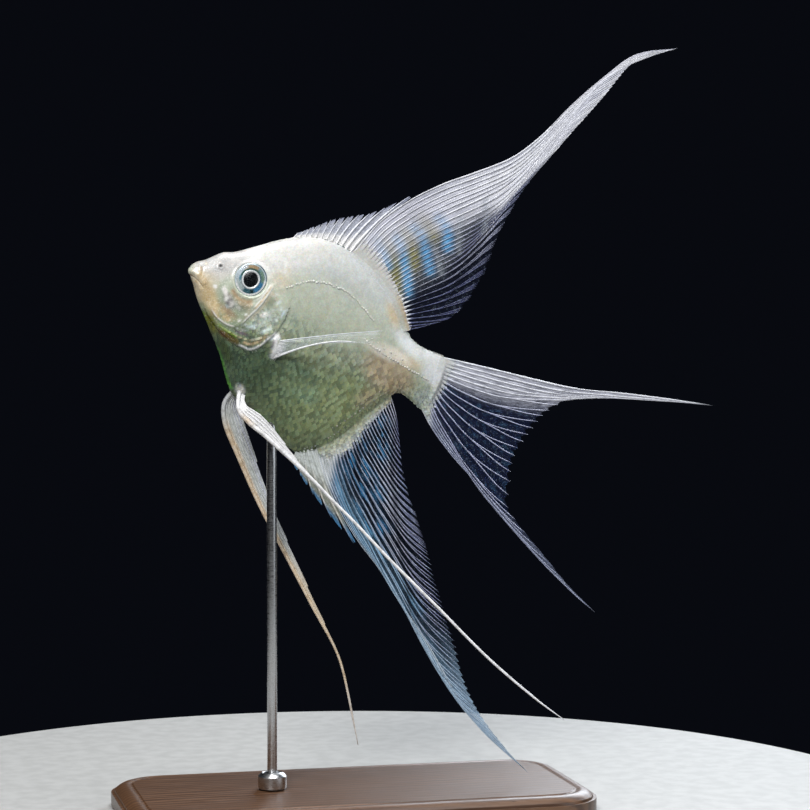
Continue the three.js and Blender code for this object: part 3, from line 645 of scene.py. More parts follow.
def skin():
    clear_selection()
    bpy.ops.mesh.primitive_uv_sphere_add(segments=SKIN_AROUND, ring_count=SKIN_ALONG, radius=1)
    piece = bpy.context.object
    piece.name = "fish_skin"
    mesh = piece.data
    ball = coordinates(mesh)
    t = np.arccos(np.clip(ball[:, 2], -1, 1)) / math.pi
    angle = np.arctan2(ball[:, 1], ball[:, 0])
    x = station(t)
    points = skin_point(x, angle)
    shrink = np.sqrt(1 - (1 - np.clip(np.minimum(t, 1 - t) / TIP_ROUNDING, 0, 1)) ** 2)
    middle = np.stack([x, 0 * x, (back(x) + belly(x)) / 2], -1)
    points = middle + (points - middle) * shrink[:, None]
    mesh.vertices.foreach_set("co", in_room(points).ravel())
    mesh.update()
    tint(mesh, "markings", flesh_colour(points[:, 0], points[:, 2]))
    mesh.uv_layers[0].name = "OFBake"
    lay_out(mesh, "OFBake", closed_layout(mesh, unwrapped(t, angle)), per_loop=True)
    face_outward(piece)
    finish_piece(piece, skin_finish(), FLESH_NODES)


# ---- scales -----------------------------------------------------------------------------------

SCALE_THICKNESS = 0.05
FIRST_SCALE, LAST_SCALE = 9.0, 59.7  # where the scales begin, on the throat, and end, on the tail
STEP_AHEAD = 0.3  # how far toward the tail each scale looks for its direction
PEARL_SIZE = 0.41  # scales smaller than this, most of the bright rows', are shaded round like beads
COVER_SCALES = 0.85  # size of the gill cover's scales beside those of the flank
SCALE_PATCH = (0.003, 0.0015)  # size of a scale in the skin's flat layout: its length and half width


def one_scale():
    """One scale in its own plane: length 1 toward the tail, half width 1, with its rim turned down."""
    root = [(0.0, w, 0.0) for w in (-0.7, 0.0, 0.7)]
    middle = [(0.5, w, 0.5 * (1 - w * w)) for w in (-1.0, -0.52, 0.0, 0.52, 1.0)]
    turns = [math.radians(a) for a in (-66, -34, 0, 34, 66)]
    free = [(0.52 + 0.48 * math.cos(a), 0.98 * math.sin(a), 0.25 * math.cos(a)) for a in turns]
    top = root + middle + free
    faces = [(0, 3, 4), (0, 4, 5, 1), (1, 5, 6, 2), (2, 6, 7)]
    faces += [(3 + k, 8 + k, 9 + k, 4 + k) for k in range(4)]
    rim = [0, 1, 2, 7, 12, 11, 10, 9, 8, 3]
    under = {a: len(top) + i for i, a in enumerate(rim)}
    faces += [(a, under[a], under[b], b) for a, b in zip(rim, rim[1:] + rim[:1])]
    faces.append(tuple(under[a] for a in rim))
    places = np.array(top + [top[a] for a in rim])
    lip = np.arange(len(places)) >= len(top)
    return places, lip, faces


def arc_table(x, turns):
    """Length around the body from its widest level to each angle, at each station."""
    points = full_body(np.repeat(x[:, None], len(turns), 1), np.repeat(turns[None], len(x), 0))
    run = np.cumsum(np.linalg.norm(np.diff(points, axis=1), axis=2), axis=1)
    run = np.concatenate([np.zeros((len(x), 1)), run], axis=1)
    return run - run[:, len(turns) // 2][:, None]


def scale_size(x):
    """Size of the scales, as a part of the largest: small on the head and the tail's root."""
    size = 0.62 + 0.38 * smooth((x - 9) / 28)
    size *= 1 - 0.35 * smooth((x - 47) / 12)
    return size


def outward(x, angle, along, side):
    """The way out of the skin, square to the direction in which a scale lies."""
    nudge = 0.02
    around = skin_point(x, angle + nudge) - skin_point(x, angle - nudge)
    out = unit(np.cross(around, along))
    return out * np.sign(out[:, 1] * side)[:, None]


def covered(x, z):
    """Which places carry a scale, and which of them lie on the flank.

    Snout, eye, the edges of gill cover and cheek, and the root of the side fin stay bare.
    """
    gap, where = distance_to(GILL_EDGE, x, z)
    on_flank = (where > 0) | (x > 23.5)
    spread = np.hypot((x - EYE["x"]) / 4.6, (z - EYE["z"]) / 4.8)
    bare_edge = gap <= 0.5 * smooth((3.0 - z) / 3)
    cheek_gap, cheek_side = distance_to(CHEEK_EDGE, x, z)
    on_cover = (where < 0) & (spread > 1) & (x > 13) & (cheek_gap > 0.6)
    on_cover &= (cheek_side > 0) | (z > 5.5)
    fin_gap, _ = distance_to(PECTORAL_ROOT, x, z)
    return (on_flank | on_cover) & ~bare_edge & (fin_gap > 0.9), on_flank


def scaled_places(side, rng):
    """Roots, directions and sizes of the scales of one flank, in oblique rows."""
    turns = np.linspace(-0.5 * math.pi, 0.5 * math.pi, 241)
    columns = [FIRST_SCALE]
    while columns[-1] < BODY_LENGTH:
        columns.append(columns[-1] + 0.5 * SCALE_LENGTH * float(scale_size(columns[-1])))
    columns = np.array(columns[:-1])
    ahead = np.minimum(columns + STEP_AHEAD, BODY_LENGTH)
    here, there = arc_table(np.minimum(columns, LAST_SCALE), turns), arc_table(ahead, turns)
    rows = np.arange(-60, 61)
    found = []
    for i, x in enumerate(columns):
        size = float(scale_size(x))
        row = rows + 0.5 * (i % 2)
        wanted = row * 2 * SCALE_ROW * size
        wanted_ahead = row * 2 * SCALE_ROW * float(scale_size(ahead[i]))
        keep = (wanted > here[i][0] * 0.99) & (wanted < here[i][-1] * 0.99)
        a = np.interp(wanted[keep], here[i], turns)
        b = np.interp(wanted_ahead[keep], there[i], turns)
        found.append(np.stack(np.broadcast_arrays(min(x, LAST_SCALE), a, ahead[i], b, size), -1))
    x, a, x_ahead, a_ahead, size = np.vstack(found).T
    x = x + rng.normal(0, 0.03, len(x))
    if side > 0:
        a, a_ahead = math.pi - a, math.pi - a_ahead
    root, tip = skin_point(x, a), skin_point(x_ahead, a_ahead)
    along = unit(tip - root)
    out = outward(x, a, along, side)
    keep, on_flank = covered(root[:, 0], root[:, 2])
    size = size * np.where(on_flank, 1.0, COVER_SCALES)
    t = np.interp(x, station(np.linspace(0, 1, 400)), np.linspace(0, 1, 400))
    values = (root, along, out, size, unwrapped(t, a), rng.random(len(x)))
    return [v[keep] for v in values]


def scale_finish():
    f = Finish("pearly scales")
    place = f.place()
    markings = f.attribute("markings")
    tone = f.attribute("tone", out="Fac")
    grain = f.noise(place, 3000.0, 3.0, 0.6)
    mottle = f.noise(place, 500.0, 4.0, 0.7)
    paler = f.mix(f.span(tone, 0.0, 1.0, 0.0, 0.45), markings, (0.93, 0.92, 0.86, 1), "SOFT_LIGHT")
    patchy = f.mix(f.span(mottle, 0.3, 0.7, 0.3, 0.0), paler, (0.62, 0.6, 0.5, 1), "MULTIPLY")
    grained = f.mix(f.span(grain, 0.35, 0.65, 0.25, 0.0), patchy, (0.6, 0.6, 0.52, 1), "MULTIPLY")
    glints = f.noise(place, 4600.0, 1.0, 0.5, out="Color")
    toned = f.mix(0.3, grained, glints, "OVERLAY")
    # painted sheen: a pale blue mixed into the colour where the surface turns away from the view
    facing = f.put("LayerWeight", {"Blend": 0.25}, out="Facing")
    sheen = f.mix(f.sum("MULTIPLY", facing, 0.22), toned, (0.66, 0.76, 0.84, 1))
    bumps = f.bump(grain, 0.15, 0.00005)
    return f.surface(
        Base_Color=sheen, Roughness=f.span(grain, 0.3, 0.7, 0.4, 0.52), Metallic=0.04, Normal=bumps,
        Coat_Weight=0.08, Coat_Roughness=0.25, Specular_IOR_Level=0.3,
    )


def scale_points(shape, lip, root, along, out, size, tone):
    """Every scale's points: it grows from its root, leans along the body and lifts at its tip."""
    across = np.cross(out, along)
    length = SCALE_LENGTH * 1.3 * size
    width = SCALE_ROW * 1.1 * size
    relief_here = (0.2 + 0.8 * smooth((2 - root[:, 2]) / 8)) * size
    lift = (0.04 + 0.03 * tone) * relief_here
    thick = SCALE_THICKNESS * np.maximum(relief_here, 0.3)
    height = shape[None, :, 0] * lift[:, None] + 0.05 * shape[None, :, 2] * relief_here[:, None]
    return (
        root[:, None]
        + along[:, None] * ((shape[None, :, 0:1] - 0.15) * length[:, None, None])
        + across[:, None] * (shape[None, :, 1:2] * width[:, None, None])
        + out[:, None] * (height + 0.02 - lip[None] * thick[:, None])[..., None]
    )


def scale_colours(colours, shape, z, root_z, tone):
    """Darker roots and paler tips, painted shade under the free edge of the scale ahead and painted light on
    each free edge, and uneven tints, which show most on the lower flank.
    """
    count = len(shape)
    low_flank = smooth((2 - z) / 6)
    rise = np.tile(shape[:, 0], len(root_z))
    # painted shade on each scale's root, where it lies under the scale ahead, and painted light on its free
    # tip
    shade = 1 - 0.35 * low_flank * (1 - smooth(rise / 0.5))
    shade *= 0.86 + 0.1 * low_flank * smooth((rise - 0.5) / 0.4)
    shade *= 1 + (np.repeat(tone, count) - 0.5) * (0.05 + 0.5 * low_flank)
    tints = (np.modf(tone * 7.31)[0] - 0.5) * (0.4 + 0.6 * smooth((3 - root_z) / 7))
    warmth = np.repeat(tints, count)[:, None] * (0.14, 0.02, -0.2)
    return np.clip(colours * (1 + warmth) * shade[:, None], 0, 1)


def scale_coat(name, material, root, along, out, size, flat, tone, colours=None):
    """Many scales as one mesh, in the flesh's own colours where none are given."""
    shape, lip, faces = one_scale()
    count = len(shape)
    points = scale_points(shape, lip, root, along, out, size, tone).reshape(-1, 3)
    all_faces = [tuple(v + i * count for v in face) for i in range(len(root)) for face in faces]
    piece = array_mesh(name, in_room(points), all_faces)
    mesh = piece.data
    if colours is None:
        colours = flesh_colour(points[:, 0], points[:, 2])
    else:
        colours = np.repeat(colours, count, 0)
    tint(mesh, "markings", scale_colours(colours, shape, points[:, 2], root[:, 2], tone))
    calm_tone = 0.5 + (tone - 0.5) * (0.25 + 0.75 * smooth((3 - root[:, 2]) / 7))
    layer = mesh.attributes.new("tone", "FLOAT", "POINT")
    layer.data.foreach_set("value", np.repeat(calm_tone, count).astype(np.float32))
    patch = (shape[None, :, :2] - (0.5, 0.0)) * SCALE_PATCH + flat[:, None]
    lay_out(mesh, "OFBake", patch.reshape(-1, 2))
    face_outward(piece)
    finish_piece(piece, material, smooth_shading=False)
    mesh.polygons.foreach_set("use_smooth", np.repeat(size < PEARL_SIZE, len(faces)))


def flank_scales(side, name, material):
    scale_coat(name, material, *scaled_places(side, np.random.default_rng(7 + side)))


# ---- fins -------------------------------------------------------------------------------------

# Each fin is a fan of rays from its root to its free edge. Points are (x, z). Sway carries the far
# end of the fin out of the fish's plane; rays fork at each of the splits, and the forks of the last
# rays spread only as far as rear_fork says; the web is cut back between the tips by the notch; bow
# bends the middle rays; flow says how gently the fin's root leaves the flank.
DORSAL = {
    "rays": 27, "sway": 3.0, "splits": (0.17, 0.6), "notch": 0.9, "bow": -0.07, "rear_fork": 0.55,
    "flow": 1.0,
    "front": [
        (31.4, 19.2), (31.9, 19.8), (34.4, 28), (38.8, 35.5), (44.2, 42), (50.4, 48), (56.4, 54.4),
        (60.6, 62), (63.8, 70.4), (68.7, 80.7), (73.3, 88.3), (82.2, 94.4),
    ],
    "rear": [(50.1, 8.4), (51.4, 9.6), (52.6, 10.6), (53.6, 11.5)],
    "edge": [
        (82.2, 94.4), (77, 89.8), (73.8, 86.7), (70.3, 76), (65.7, 62.3), (61.8, 49.2), (60.6, 37.6),
        (60.9, 26.6), (58.6, 16.3), (53.6, 11.5),
    ],
    "ends": [(0, 0), (0.2, 0.1), (0.4, 0.36), (0.7, 0.72), (0.9, 0.92), (1, 1)],
}
ANAL = {
    "rays": 29, "sway": -3.0, "splits": (0.15, 0.7), "notch": 1.6, "bow": -0.06, "rear_fork": 0.3,
    "flow": 1.0,
    "front": [
        (42.0, -22.6), (42.4, -23.2), (46.8, -28.4), (52.4, -33.2), (59.2, -37.9), (65.8, -41.5),
        (72.7, -46), (82.7, -52.3), (94.5, -61), (101.4, -65.3), (116.6, -70.6),
    ],
    "rear": [(52.7, -6.1), (53.6, -7.1), (54.8, -8.6), (56.4, -11.0)],
    "edge": [
        (116.6, -70.6), (109, -67.3), (97.7, -60.2), (88.9, -50.4), (79.9, -40.1), (71.8, -30.6),
        (63.4, -21.6), (56.8, -11.1),
    ],
    "ends": [(0, 0), (0.12, 0.12), (0.26, 0.42), (0.4, 0.65), (0.6, 0.81), (0.8, 0.92), (1, 1)],
}
TAIL = {
    "rays": 17, "sway": -2.0, "splits": (0.5,), "notch": 1.3, "bow": -0.05, "rear_fork": 1.0,
    "flow": 2.0,
    "root": [(60.3, 6.8), (60.8, 3.5), (61.0, 0.5), (60.8, -2.6), (60.3, -5.7)],
    "front": [
        (60.3, 6.8), (70.5, 8.9), (80.9, 10.9), (91.1, 13.1), (100.9, 16.4), (110, 19.3), (122.9, 23),
    ],
    "rear": [
        (60.3, -5.7), (63.8, -8.4), (70.2, -12), (77.1, -15.1), (84.5, -18.9), (92.9, -22.6),
        (102, -26.5), (108.8, -29.2), (116.4, -31.4),
    ],
    "edge": [
        (122.9, 23), (105.4, 16.9), (95.8, 12.7), (90.1, 9.3), (86.8, 4.4), (85.1, -2.0),
        (84.9, -8), (86.2, -13), (88.2, -18.0), (92, -20.3), (100.8, -24.6), (108.9, -28.6), (116.4, -31.4),
    ],
    "ends": [(0, 0), (0.12, 0.1), (0.24, 0.28), (0.34, 0.4), (0.66, 0.6), (0.76, 0.7), (0.88, 0.88), (1, 1)],
}
ROOT_DEPTH = 1.4  # how far the fin rays run on inside the body


def along_edge(edge, start, end):
    """The body's outline between two stations, as a function of the part of it that is covered."""
    x = np.linspace(start, end, 60)
    return flowing(np.stack([x, edge(x)], -1), steps=4)


class Fan:
    """The surface of a fin: v runs from its first ray to its last, s from its root to its free edge."""

    def __init__(self, shape, root):
        self.root, self.front, self.rear = root, flowing(shape["front"]), flowing(shape["rear"])
        self.edge, self.ends = flowing(shape["edge"]), np.array(shape["ends"], float).T
        self.sway, self.count = shape["sway"], shape["rays"]
        self.splits, self.notch, self.middle_bow = shape["splits"], shape["notch"], shape["bow"]
        self.rear_fork, self.flow = shape["rear_fork"], shape["flow"]
        self.length = np.linalg.norm(self.front(1.0) - self.front(0.0))
        self.rear_length = np.linalg.norm(self.rear(1.0) - self.rear(0.0))

    def bow(self, curve, s):
        straight = curve(0.0) + (curve(1.0) - curve(0.0)) * s[..., None]
        return curve(s) - straight

    def at(self, v, s):
        v, s = np.broadcast_arrays(np.asarray(v, float), np.asarray(s, float))
        inside = np.minimum(s, 0)
        s = np.maximum(s, 0)
        start = self.root(np.clip(v, 0, 1))
        end = self.edge(np.interp(v, *self.ends))
        reach = np.linalg.norm(end - start, axis=-1)
        flat = start + (end - start) * s[..., None]
        flat = flat + ((1 - v) * reach / self.length)[..., None] * self.bow(self.front, s)
        flat = flat + (v * reach / self.rear_length)[..., None] * self.bow(self.rear, s)
        aside = np.stack([start[..., 1] - end[..., 1], end[..., 0] - start[..., 0]], -1)
        flat = flat + aside * (self.middle_bow * 4 * s * (1 - s) * np.sin(v * math.pi))[..., None]
        y = self.sway * (reach * s / self.length) ** 2
        if np.any(inside < 0):
            ahead = self.at(v, np.full(v.shape, 0.03))
            back_way = unit(flat_point(ahead) - start)
            flat = flat + back_way * (inside * ROOT_DEPTH)[..., None]
        return np.stack([flat[..., 0], y, flat[..., 1]], -1)

    def reach(self, v):
        start = self.root(np.clip(v, 0, 1))
        return np.linalg.norm(self.edge(np.interp(v, *self.ends)) - start, axis=-1)

    def room(self, v, s, step, along):
        """Width of the fin across its rays, between v - step and v + step."""
        beside = self.at(np.clip(v + step, 0, 1), s) - self.at(np.clip(v - step, 0, 1), s)
        width = beside - along * np.sum(beside * along, -1, keepdims=True)
        return np.linalg.norm(width, axis=-1)


def flat_point(points):
    return points[..., [0, 2]]


def tube(path, radius, corners):
    """Rings of points around many paths at once: path is (tubes, steps, 3)."""
    along = unit(np.gradient(path, axis=1))
    across = unit(np.cross((0.0, 1.0, 0.0), along))
    up = np.cross(along, across)
    turn = np.arange(corners) * 2 * math.pi / corners
    ring = (
        across[:, :, None] * np.cos(turn)[:, None] + up[:, :, None] * np.sin(turn)[:, None]
    ) * radius[:, :, None, None]
    return path[:, :, None] + ring


def tube_faces(tubes, steps, corners):
    """Quads around each tube and a many-sided face at each end."""
    index = np.arange(tubes * steps * corners).reshape(tubes, steps, corners)
    turned = np.roll(index, -1, axis=2)
    walls = np.stack([index[:, :-1], turned[:, :-1], turned[:, 1:], index[:, 1:]], -1).reshape(-1, 4)
    near, far = index[:, 0, ::-1], index[:, -1]
    return [tuple(f) for f in walls] + [tuple(f) for f in near] + [tuple(f) for f in far]


def grid_faces(rows, columns):
    index = np.arange(rows * columns).reshape(rows, columns)
    quads = np.stack([index[:-1, :-1], index[1:, :-1], index[1:, 1:], index[:-1, 1:]], -1)
    return [tuple(f) for f in quads.reshape(-1, 4)]


class Sheaf:
    """Gathers the tubes and webs of one fin, with their colours, into one piece."""

    def __init__(self):
        self.places, self.faces, self.colours, self.lie, self.spots = [], [], [], [], []
        self.count = 0

    def add(self, places, faces, colours, lie, spots):
        self.faces += [tuple(v + self.count for v in f) for f in faces]
        self.count += len(places)
        self.places.append(places)
        self.colours.append(colours)
        self.lie.append(lie)
        self.spots.append(spots)

    def tubes(self, path, radius, colours, lie, cell, corners=6):
        """cell is the part of the flat layout that these tubes fill: (left, low, width, height)."""
        tubes, steps = path.shape[:2]

        def spread(values):
            return np.repeat(values[:, :, None], corners, 2).reshape(-1, values.shape[-1])

        turn = np.broadcast_to((np.arange(corners) + 0.5) / corners, (tubes, steps, corners))
        strip = (np.arange(tubes)[:, None, None] + 0.1 + 0.8 * turn) / tubes
        run = np.broadcast_to(np.linspace(0.02, 0.98, steps)[None, :, None], turn.shape)
        spots = np.stack([cell[0] + cell[2] * strip, cell[1] + cell[3] * run], -1).reshape(-1, 2)
        self.add(tube(path, radius, corners).reshape(-1, 3), tube_faces(tubes, steps, corners),
                 spread(colours), spread(lie), spots)

    def web(self, points, colours, lie, cell):
        rows, columns = points.shape[:2]
        across, along = np.meshgrid(np.linspace(0.01, 0.99, columns), np.linspace(0.01, 0.99, rows))
        spots = np.stack([cell[0] + cell[2] * across, cell[1] + cell[3] * along], -1)
        self.add(points.reshape(-1, 3), grid_faces(rows, columns), colours.reshape(-1, 4),
                 lie.reshape(-1, 2), spots.reshape(-1, 2))

    def make(self, name, material, nodes):
        piece = array_mesh(name, in_room(np.vstack(self.places)), self.faces)
        tint(piece.data, "markings", np.vstack(self.colours))
        lay_out(piece.data, "lie", np.vstack(self.lie))
        lay_out(piece.data, "OFBake", np.vstack(self.spots))
        piece.data.uv_layers["lie"].active_render = True
        finish_piece(piece, material, nodes)


def rays_of(fan, sheaf, girth, paint, rng, cell):
    """The branching rays of a fan: one stem each, forking once or twice before the free edge."""
    gap = 1.0 / (fan.count - 1)
    middle = np.linspace(0.004, 0.996, fan.count)
    levels = [0.0, *fan.splits, 1.0]
    shorter = 1 - 0.018 * rng.random(fan.count)
    strips = sum(2**k for k in range(len(levels) - 1))
    used = 0
    for level in range(len(levels) - 1):
        low = levels[level] - (0.0 if level == 0 else 0.02)
        s = np.linspace(low, levels[level + 1], 28 if level == 0 else 20)
        if level == 0:
            s = np.concatenate([[-1.0], s**1.3])
            s[1:] *= levels[1] / s[-1]
        for signs in np.ndindex(*(2,) * level):
            v = np.repeat(middle[:, None], len(s), 1)
            for k, sign in enumerate(signs):
                part = smooth((s - fan.splits[k]) / (1 - fan.splits[k]))
                wide = 1 + (fan.rear_fork - 1) * smooth((v - 0.3) / 0.4)
                v = v + (sign - 0.5) * gap * 0.5 ** (k + 1) * part * wide
            v = np.clip(v, 0.001, 0.999)
            run = np.where(s > 0, s * shorter[:, None], s)
            outside = np.clip(run, 0, 1)
            path = fan.at(v, run)
            along = unit(np.gradient(path, axis=1))
            room = fan.room(v, run, gap * 0.5 ** (level + 1), along)
            thick = girth(v, fan.reach(v) * outside) * 0.84**level
            radius = np.minimum(thick, 0.3 * room + 0.03)
            if level == len(levels) - 2:
                radius = radius * (1 - 0.75 * smooth((s - 0.93) / 0.07))
            colours = paint(v, outside, path, True)
            lie = np.stack([v * fan.count, run * 30], -1)
            strip = cell[2] / strips
            sheaf.tubes(path, radius, colours, lie, (cell[0] + used * strip, cell[1], strip, cell[3]))
            used += 1


WEB_ROWS, WEB_COLUMNS = 80, 8  # steps along a fin's web, and across it from ray to ray


def web_of(fan, sheaf, paint, cell):
    """The clear skin between the rays of a fan, scalloped between their tips."""
    v = np.linspace(0.001, 0.999, (fan.count - 1) * WEB_COLUMNS + 1)
    tips = 2 ** len(fan.splits)
    between = 0.5 - 0.5 * np.cos((v * (fan.count - 1) * tips + 0.5) * 2 * math.pi)
    near_edge = fan.at(v, np.full(v.shape, 0.97))
    along = unit(fan.at(v, np.ones(v.shape)) - near_edge)
    room = fan.room(v, np.full(v.shape, 0.97), 0.5 / fan.count, along)
    notch = np.minimum(fan.notch, 1.2 * room) / fan.reach(v)
    edge = 1 - notch * (0.35 + 0.65 * between)
    s = np.linspace(0, 1, WEB_ROWS)[:, None] ** 1.2 * edge[None]
    s = np.vstack([np.full((1, len(v)), -1.0), s])
    v = np.repeat(v[None], WEB_ROWS + 1, 0)
    points = fan.at(v, s)
    points[..., 1] += 0.05 * np.sin(v * (fan.count - 1) * 2 * math.pi) * np.clip(s * 6, 0, 1)
    colours = paint(v, np.clip(s, 0, 1), points, False)
    lie = np.stack([v * fan.count, s * 30], -1)
    sheaf.web(points, colours, lie, cell)


SKIN_END = 59.2  # where the skin begins to round off at the tail
FLARE = 1.2  # how far up a fin its root flows from the flank


def skirt_face(fan, height, half_thickness, v, depth, side):
    """Points on one face of a fin's fleshy root, which flows out of the flank and thins to its end."""
    part = np.clip(depth / height(v), 0, 1)
    points = fan.at(v, np.where(depth < 0, depth / ROOT_DEPTH, depth / fan.reach(v)))
    near = fan.at(v, np.minimum(depth, 0) / ROOT_DEPTH)
    x = np.minimum(near[..., 0], SKIN_END)
    flank = np.abs(skin_point(x, around_skin(x, near[..., 2], -1))[..., 1])
    flank = flank * np.exp(-((np.maximum(depth, 0) / FLARE) ** fan.flow)) * (1 - part**fan.flow)
    fin = half_thickness * (1 - part) ** 0.8
    blend = np.maximum(0.8 - np.abs(flank - fin), 0) ** 2 / 3.2 * (1 - part)
    points[..., 1] += side * (np.maximum(flank, fin) + blend + 0.02)
    return points, part


def skirt_colours(paint, v, part, points, depth):
    """The colours of a fin's fleshy root: the flank's own where it leaves the body."""
    colours = paint(v, part, points)
    flesh = flesh_colour(points[..., 0].ravel(), points[..., 2].ravel()).reshape(points.shape)
    return over(colours, flesh, 1 - smooth((depth + 0.9) / 1.6))


def skirt_of(fan, sheaf, height, half_thickness, paint, cell):
    """The fleshy root of a fan: it thins out of the body and ends a little way up the rays."""
    v = np.linspace(0.0, 1.0, 8 * fan.count - 7)[None]
    rows = np.concatenate([np.linspace(-1, -0.1, 7), np.linspace(0, 1, 16)])[:, None]
    depth = np.where(rows < 0, rows * ROOT_DEPTH, rows * height(v))
    v = v + 0 * depth
    for k, side in enumerate((-1, 1)):
        points, part = skirt_face(fan, height, half_thickness, v, depth, side)
        lie = np.stack([v * fan.count, depth], -1)
        place = (cell[0] + cell[2] * 0.5 * k, cell[1], cell[2] * 0.5, cell[3])
        sheaf.web(points, skirt_colours(paint, v, part, points, depth), lie, place)


def skirt_scales(fan, height, half_thickness, size, paint, side, rng, corner):
    """Places for the small scales that clothe one face of a fan's root, for scale_coat."""
    found = []
    across = max(int(length_of(fan.root) / (2 * SCALE_ROW * size)), 4)
    for row in range(-4, 14):
        v = (np.arange(across) + 0.5 + 0.5 * (row % 2)) / across
        v = v[v < 1]
        depth = (row + 0.2) * 0.5 * SCALE_LENGTH * size
        found.append(np.stack([v, depth + rng.normal(0, 0.04, len(v))], -1))
    v, depth = np.vstack(found).T
    keep = depth < height(v) * (0.7 + 0.5 * rng.random(len(v)))
    v, depth = v[keep], depth[keep]
    root, part = skirt_face(fan, height, half_thickness, v, depth, side)
    ahead, _ = skirt_face(fan, height, half_thickness, v, depth + 0.25, side)
    along = unit(ahead - root)
    out = unit(np.array([0.0, side, 0.0]) - along * (side * along[:, 1:2]))
    flat = np.stack([corner[0] + v * corner[2], corner[1] + part * corner[3]], -1)
    tone = rng.random(len(v))
    colours = skirt_colours(paint, v, part, root, depth)[..., :3]
    sizes = size * (1 - 0.25 * part)
    return root, along, out, sizes, flat, tone, colours


def over(colours, shade, cover, opacity=None):
    """Lays a shade over colours, and where opacity is given moves the opacity toward it too."""
    cover = np.clip(cover, 0, 1)[..., None]
    colours[..., :3] += (np.array(shade) - colours[..., :3]) * cover
    if opacity is not None:
        colours[..., 3:] += (opacity - colours[..., 3:]) * cover
    return colours


def chance(row, step):
    """An even spread of values from 0 to 1 that is always the same for the same row and step."""
    return np.modf(np.abs(np.sin(row * 12.99 + step * 78.23)) * 4375.85)[0]


def strokes(v, s, rows, lengthwise):
    """Uneven strokes from 0 to 1, in rows that follow the rays."""
    row = np.floor(v * rows)
    run = s * lengthwise + 0.37 * row
    step = np.floor(run)
    blend = smooth(run - step)
    return chance(row, step) * (1 - blend) + chance(row, step + 1) * blend


def bar(points, line, width):
    """How much each point lies under a soft bar along a line."""
    gap, _ = distance_to(line, points[..., 0], points[..., 2])
    return mound(gap, width)


def start_colours(points, shade, opacity):
    colours = np.empty(points.shape[:-1] + (4,))
    colours[..., :3] = shade
    colours[..., 3] = opacity
    return colours


def ray_wave(v, shape):
    """1 on each ray of a fin, and -1 midway between two."""
    return np.cos(v * (shape["rays"] - 1) * 2 * math.pi)


BLUE_BARS = [
    [(35.1, 24.3), (36.9, 22.9), (38.7, 21.5), (40.2, 20.0)],
    [(39.1, 26.5), (41.3, 24.9), (43.1, 22.4), (45.1, 19.6), (47.0, 16.4)],
    [(41.6, 30.3), (44.3, 29.3), (46.8, 26.4), (49.4, 23.0)],
    [(46.0, 34.6), (47.9, 34.0), (49.6, 32.2), (50.9, 29.5)],
]
OLIVE_BARS = [
    [(36.6, 25.4), (38.6, 23.8), (40.5, 21.9), (42.2, 19.6), (44.3, 15.6)],
    [(40.2, 28.8), (42.2, 27.4), (43.9, 25.2), (45.0, 22.8)],
    [(43.0, 32.9), (45.0, 31.8), (46.6, 30.4)],
]
GREY_BARS = [
    [(47.3, 28.8), (49.4, 26.8), (52.0, 23.6)],
    [(50.6, 37.2), (51.9, 33.4), (53.9, 29.6)],
    [(54.6, 42.8), (56.2, 39.2), (57.0, 36.2)],
]


def dorsal_paint(v, s, points, on_ray):
    limit = np.interp(s, (0, 0.42, 0.6, 1), (0.32, 0.33, 0.44, 0.5))
    whole = smooth((limit + 0.07 - v) / 0.14)  # the dense white front of the fin
    lobe = smooth((v - 0.56) / 0.2)  # the nearly clear lobe behind
    between = (1 - whole) * (1 - lobe)
    film = strokes(v, s, 78, 9)
    if on_ray:
        colours = start_colours(points, (0.74, 0.75, 0.79), 1.0)
        over(colours, (0.52, 0.53, 0.65), whole * strokes(v, s, 26, 5) * 0.6)
        over(colours, (0.30, 0.31, 0.38), between * smooth((s - 0.1) / 0.12) * 0.9)
        over(colours, (0.06, 0.07, 0.15), between * smooth((s - 0.3) / 0.2) * 0.9)
        over(colours, (0.035, 0.045, 0.14), lobe * smooth((s - 0.05) / 0.12) * 0.96)
        strength, opacity = 0.8, None
    else:
        colours = start_colours(points, (0.008, 0.012, 0.035), 0.2)
        over(colours, (0.055, 0.065, 0.075), between * smooth((0.55 - s) / 0.2) * 0.95, 0.75)
        over(colours, (0.70, 0.71, 0.80), whole * (0.78 + 0.22 * film), 0.94)
        over(colours, (0.86, 0.86, 0.87), whole * film * smooth((s - 0.2) / 0.3) * 0.8, 0.97)
        strength, opacity = 1.0, 0.95
    middle = np.exp(-(((v - 0.45) / 0.34) ** 4)) * (1 - 0.4 * whole)
    glow = 0.6 + 0.4 * film
    for line in OLIVE_BARS:
        over(colours, (0.21, 0.19, 0.045), bar(points, line, 1.9) * strength * middle, opacity)
    for line in BLUE_BARS:
        over(colours, (0.10, 0.36, 0.68), bar(points, line, 1.15) * strength * middle * glow, opacity)
    for line in GREY_BARS:
        over(colours, (0.26, 0.29, 0.32), bar(points, line, 0.7) * strength * 0.8 * glow, opacity)
    root = smooth((0.05 - s) / 0.04)
    if on_ray:
        over(colours, (0.80, 0.80, 0.79), root)
        over(colours, (0.76, 0.78, 0.82), smooth((0.14 - s) / 0.09) * lobe)
    else:
        over(colours, (0.74, 0.73, 0.71), root * (1 - 0.8 * lobe), 0.95)
    return colours


def dorsal_girth(v, run):
    lobe = smooth((v - 0.5) / 0.25)
    return 0.17 - 0.08 * lobe + 0.12 * lobe * smooth((3.6 - run) / 2.0)


def dorsal_skirt(v):
    """How far up its rays the scaled root of the dorsal fin reaches."""
    return np.interp(v, [0, 0.3, 0.6, 1], [3.6, 2.8, 1.5, 0.8]) * (1 + 0.22 * ray_wave(v, DORSAL))


def dorsal_skirt_paint(v, part, points):
    colours = start_colours(points, (0.64, 0.64, 0.62), 1.0)
    over(colours, (0.62, 0.63, 0.66), smooth((part - 0.3) / 0.6) * 0.8, 0.9)
    return over(colours, (0.58, 0.42, 0.24), smooth((v - 0.55) / 0.2) * smooth((0.8 - part) / 0.3) * 0.85)


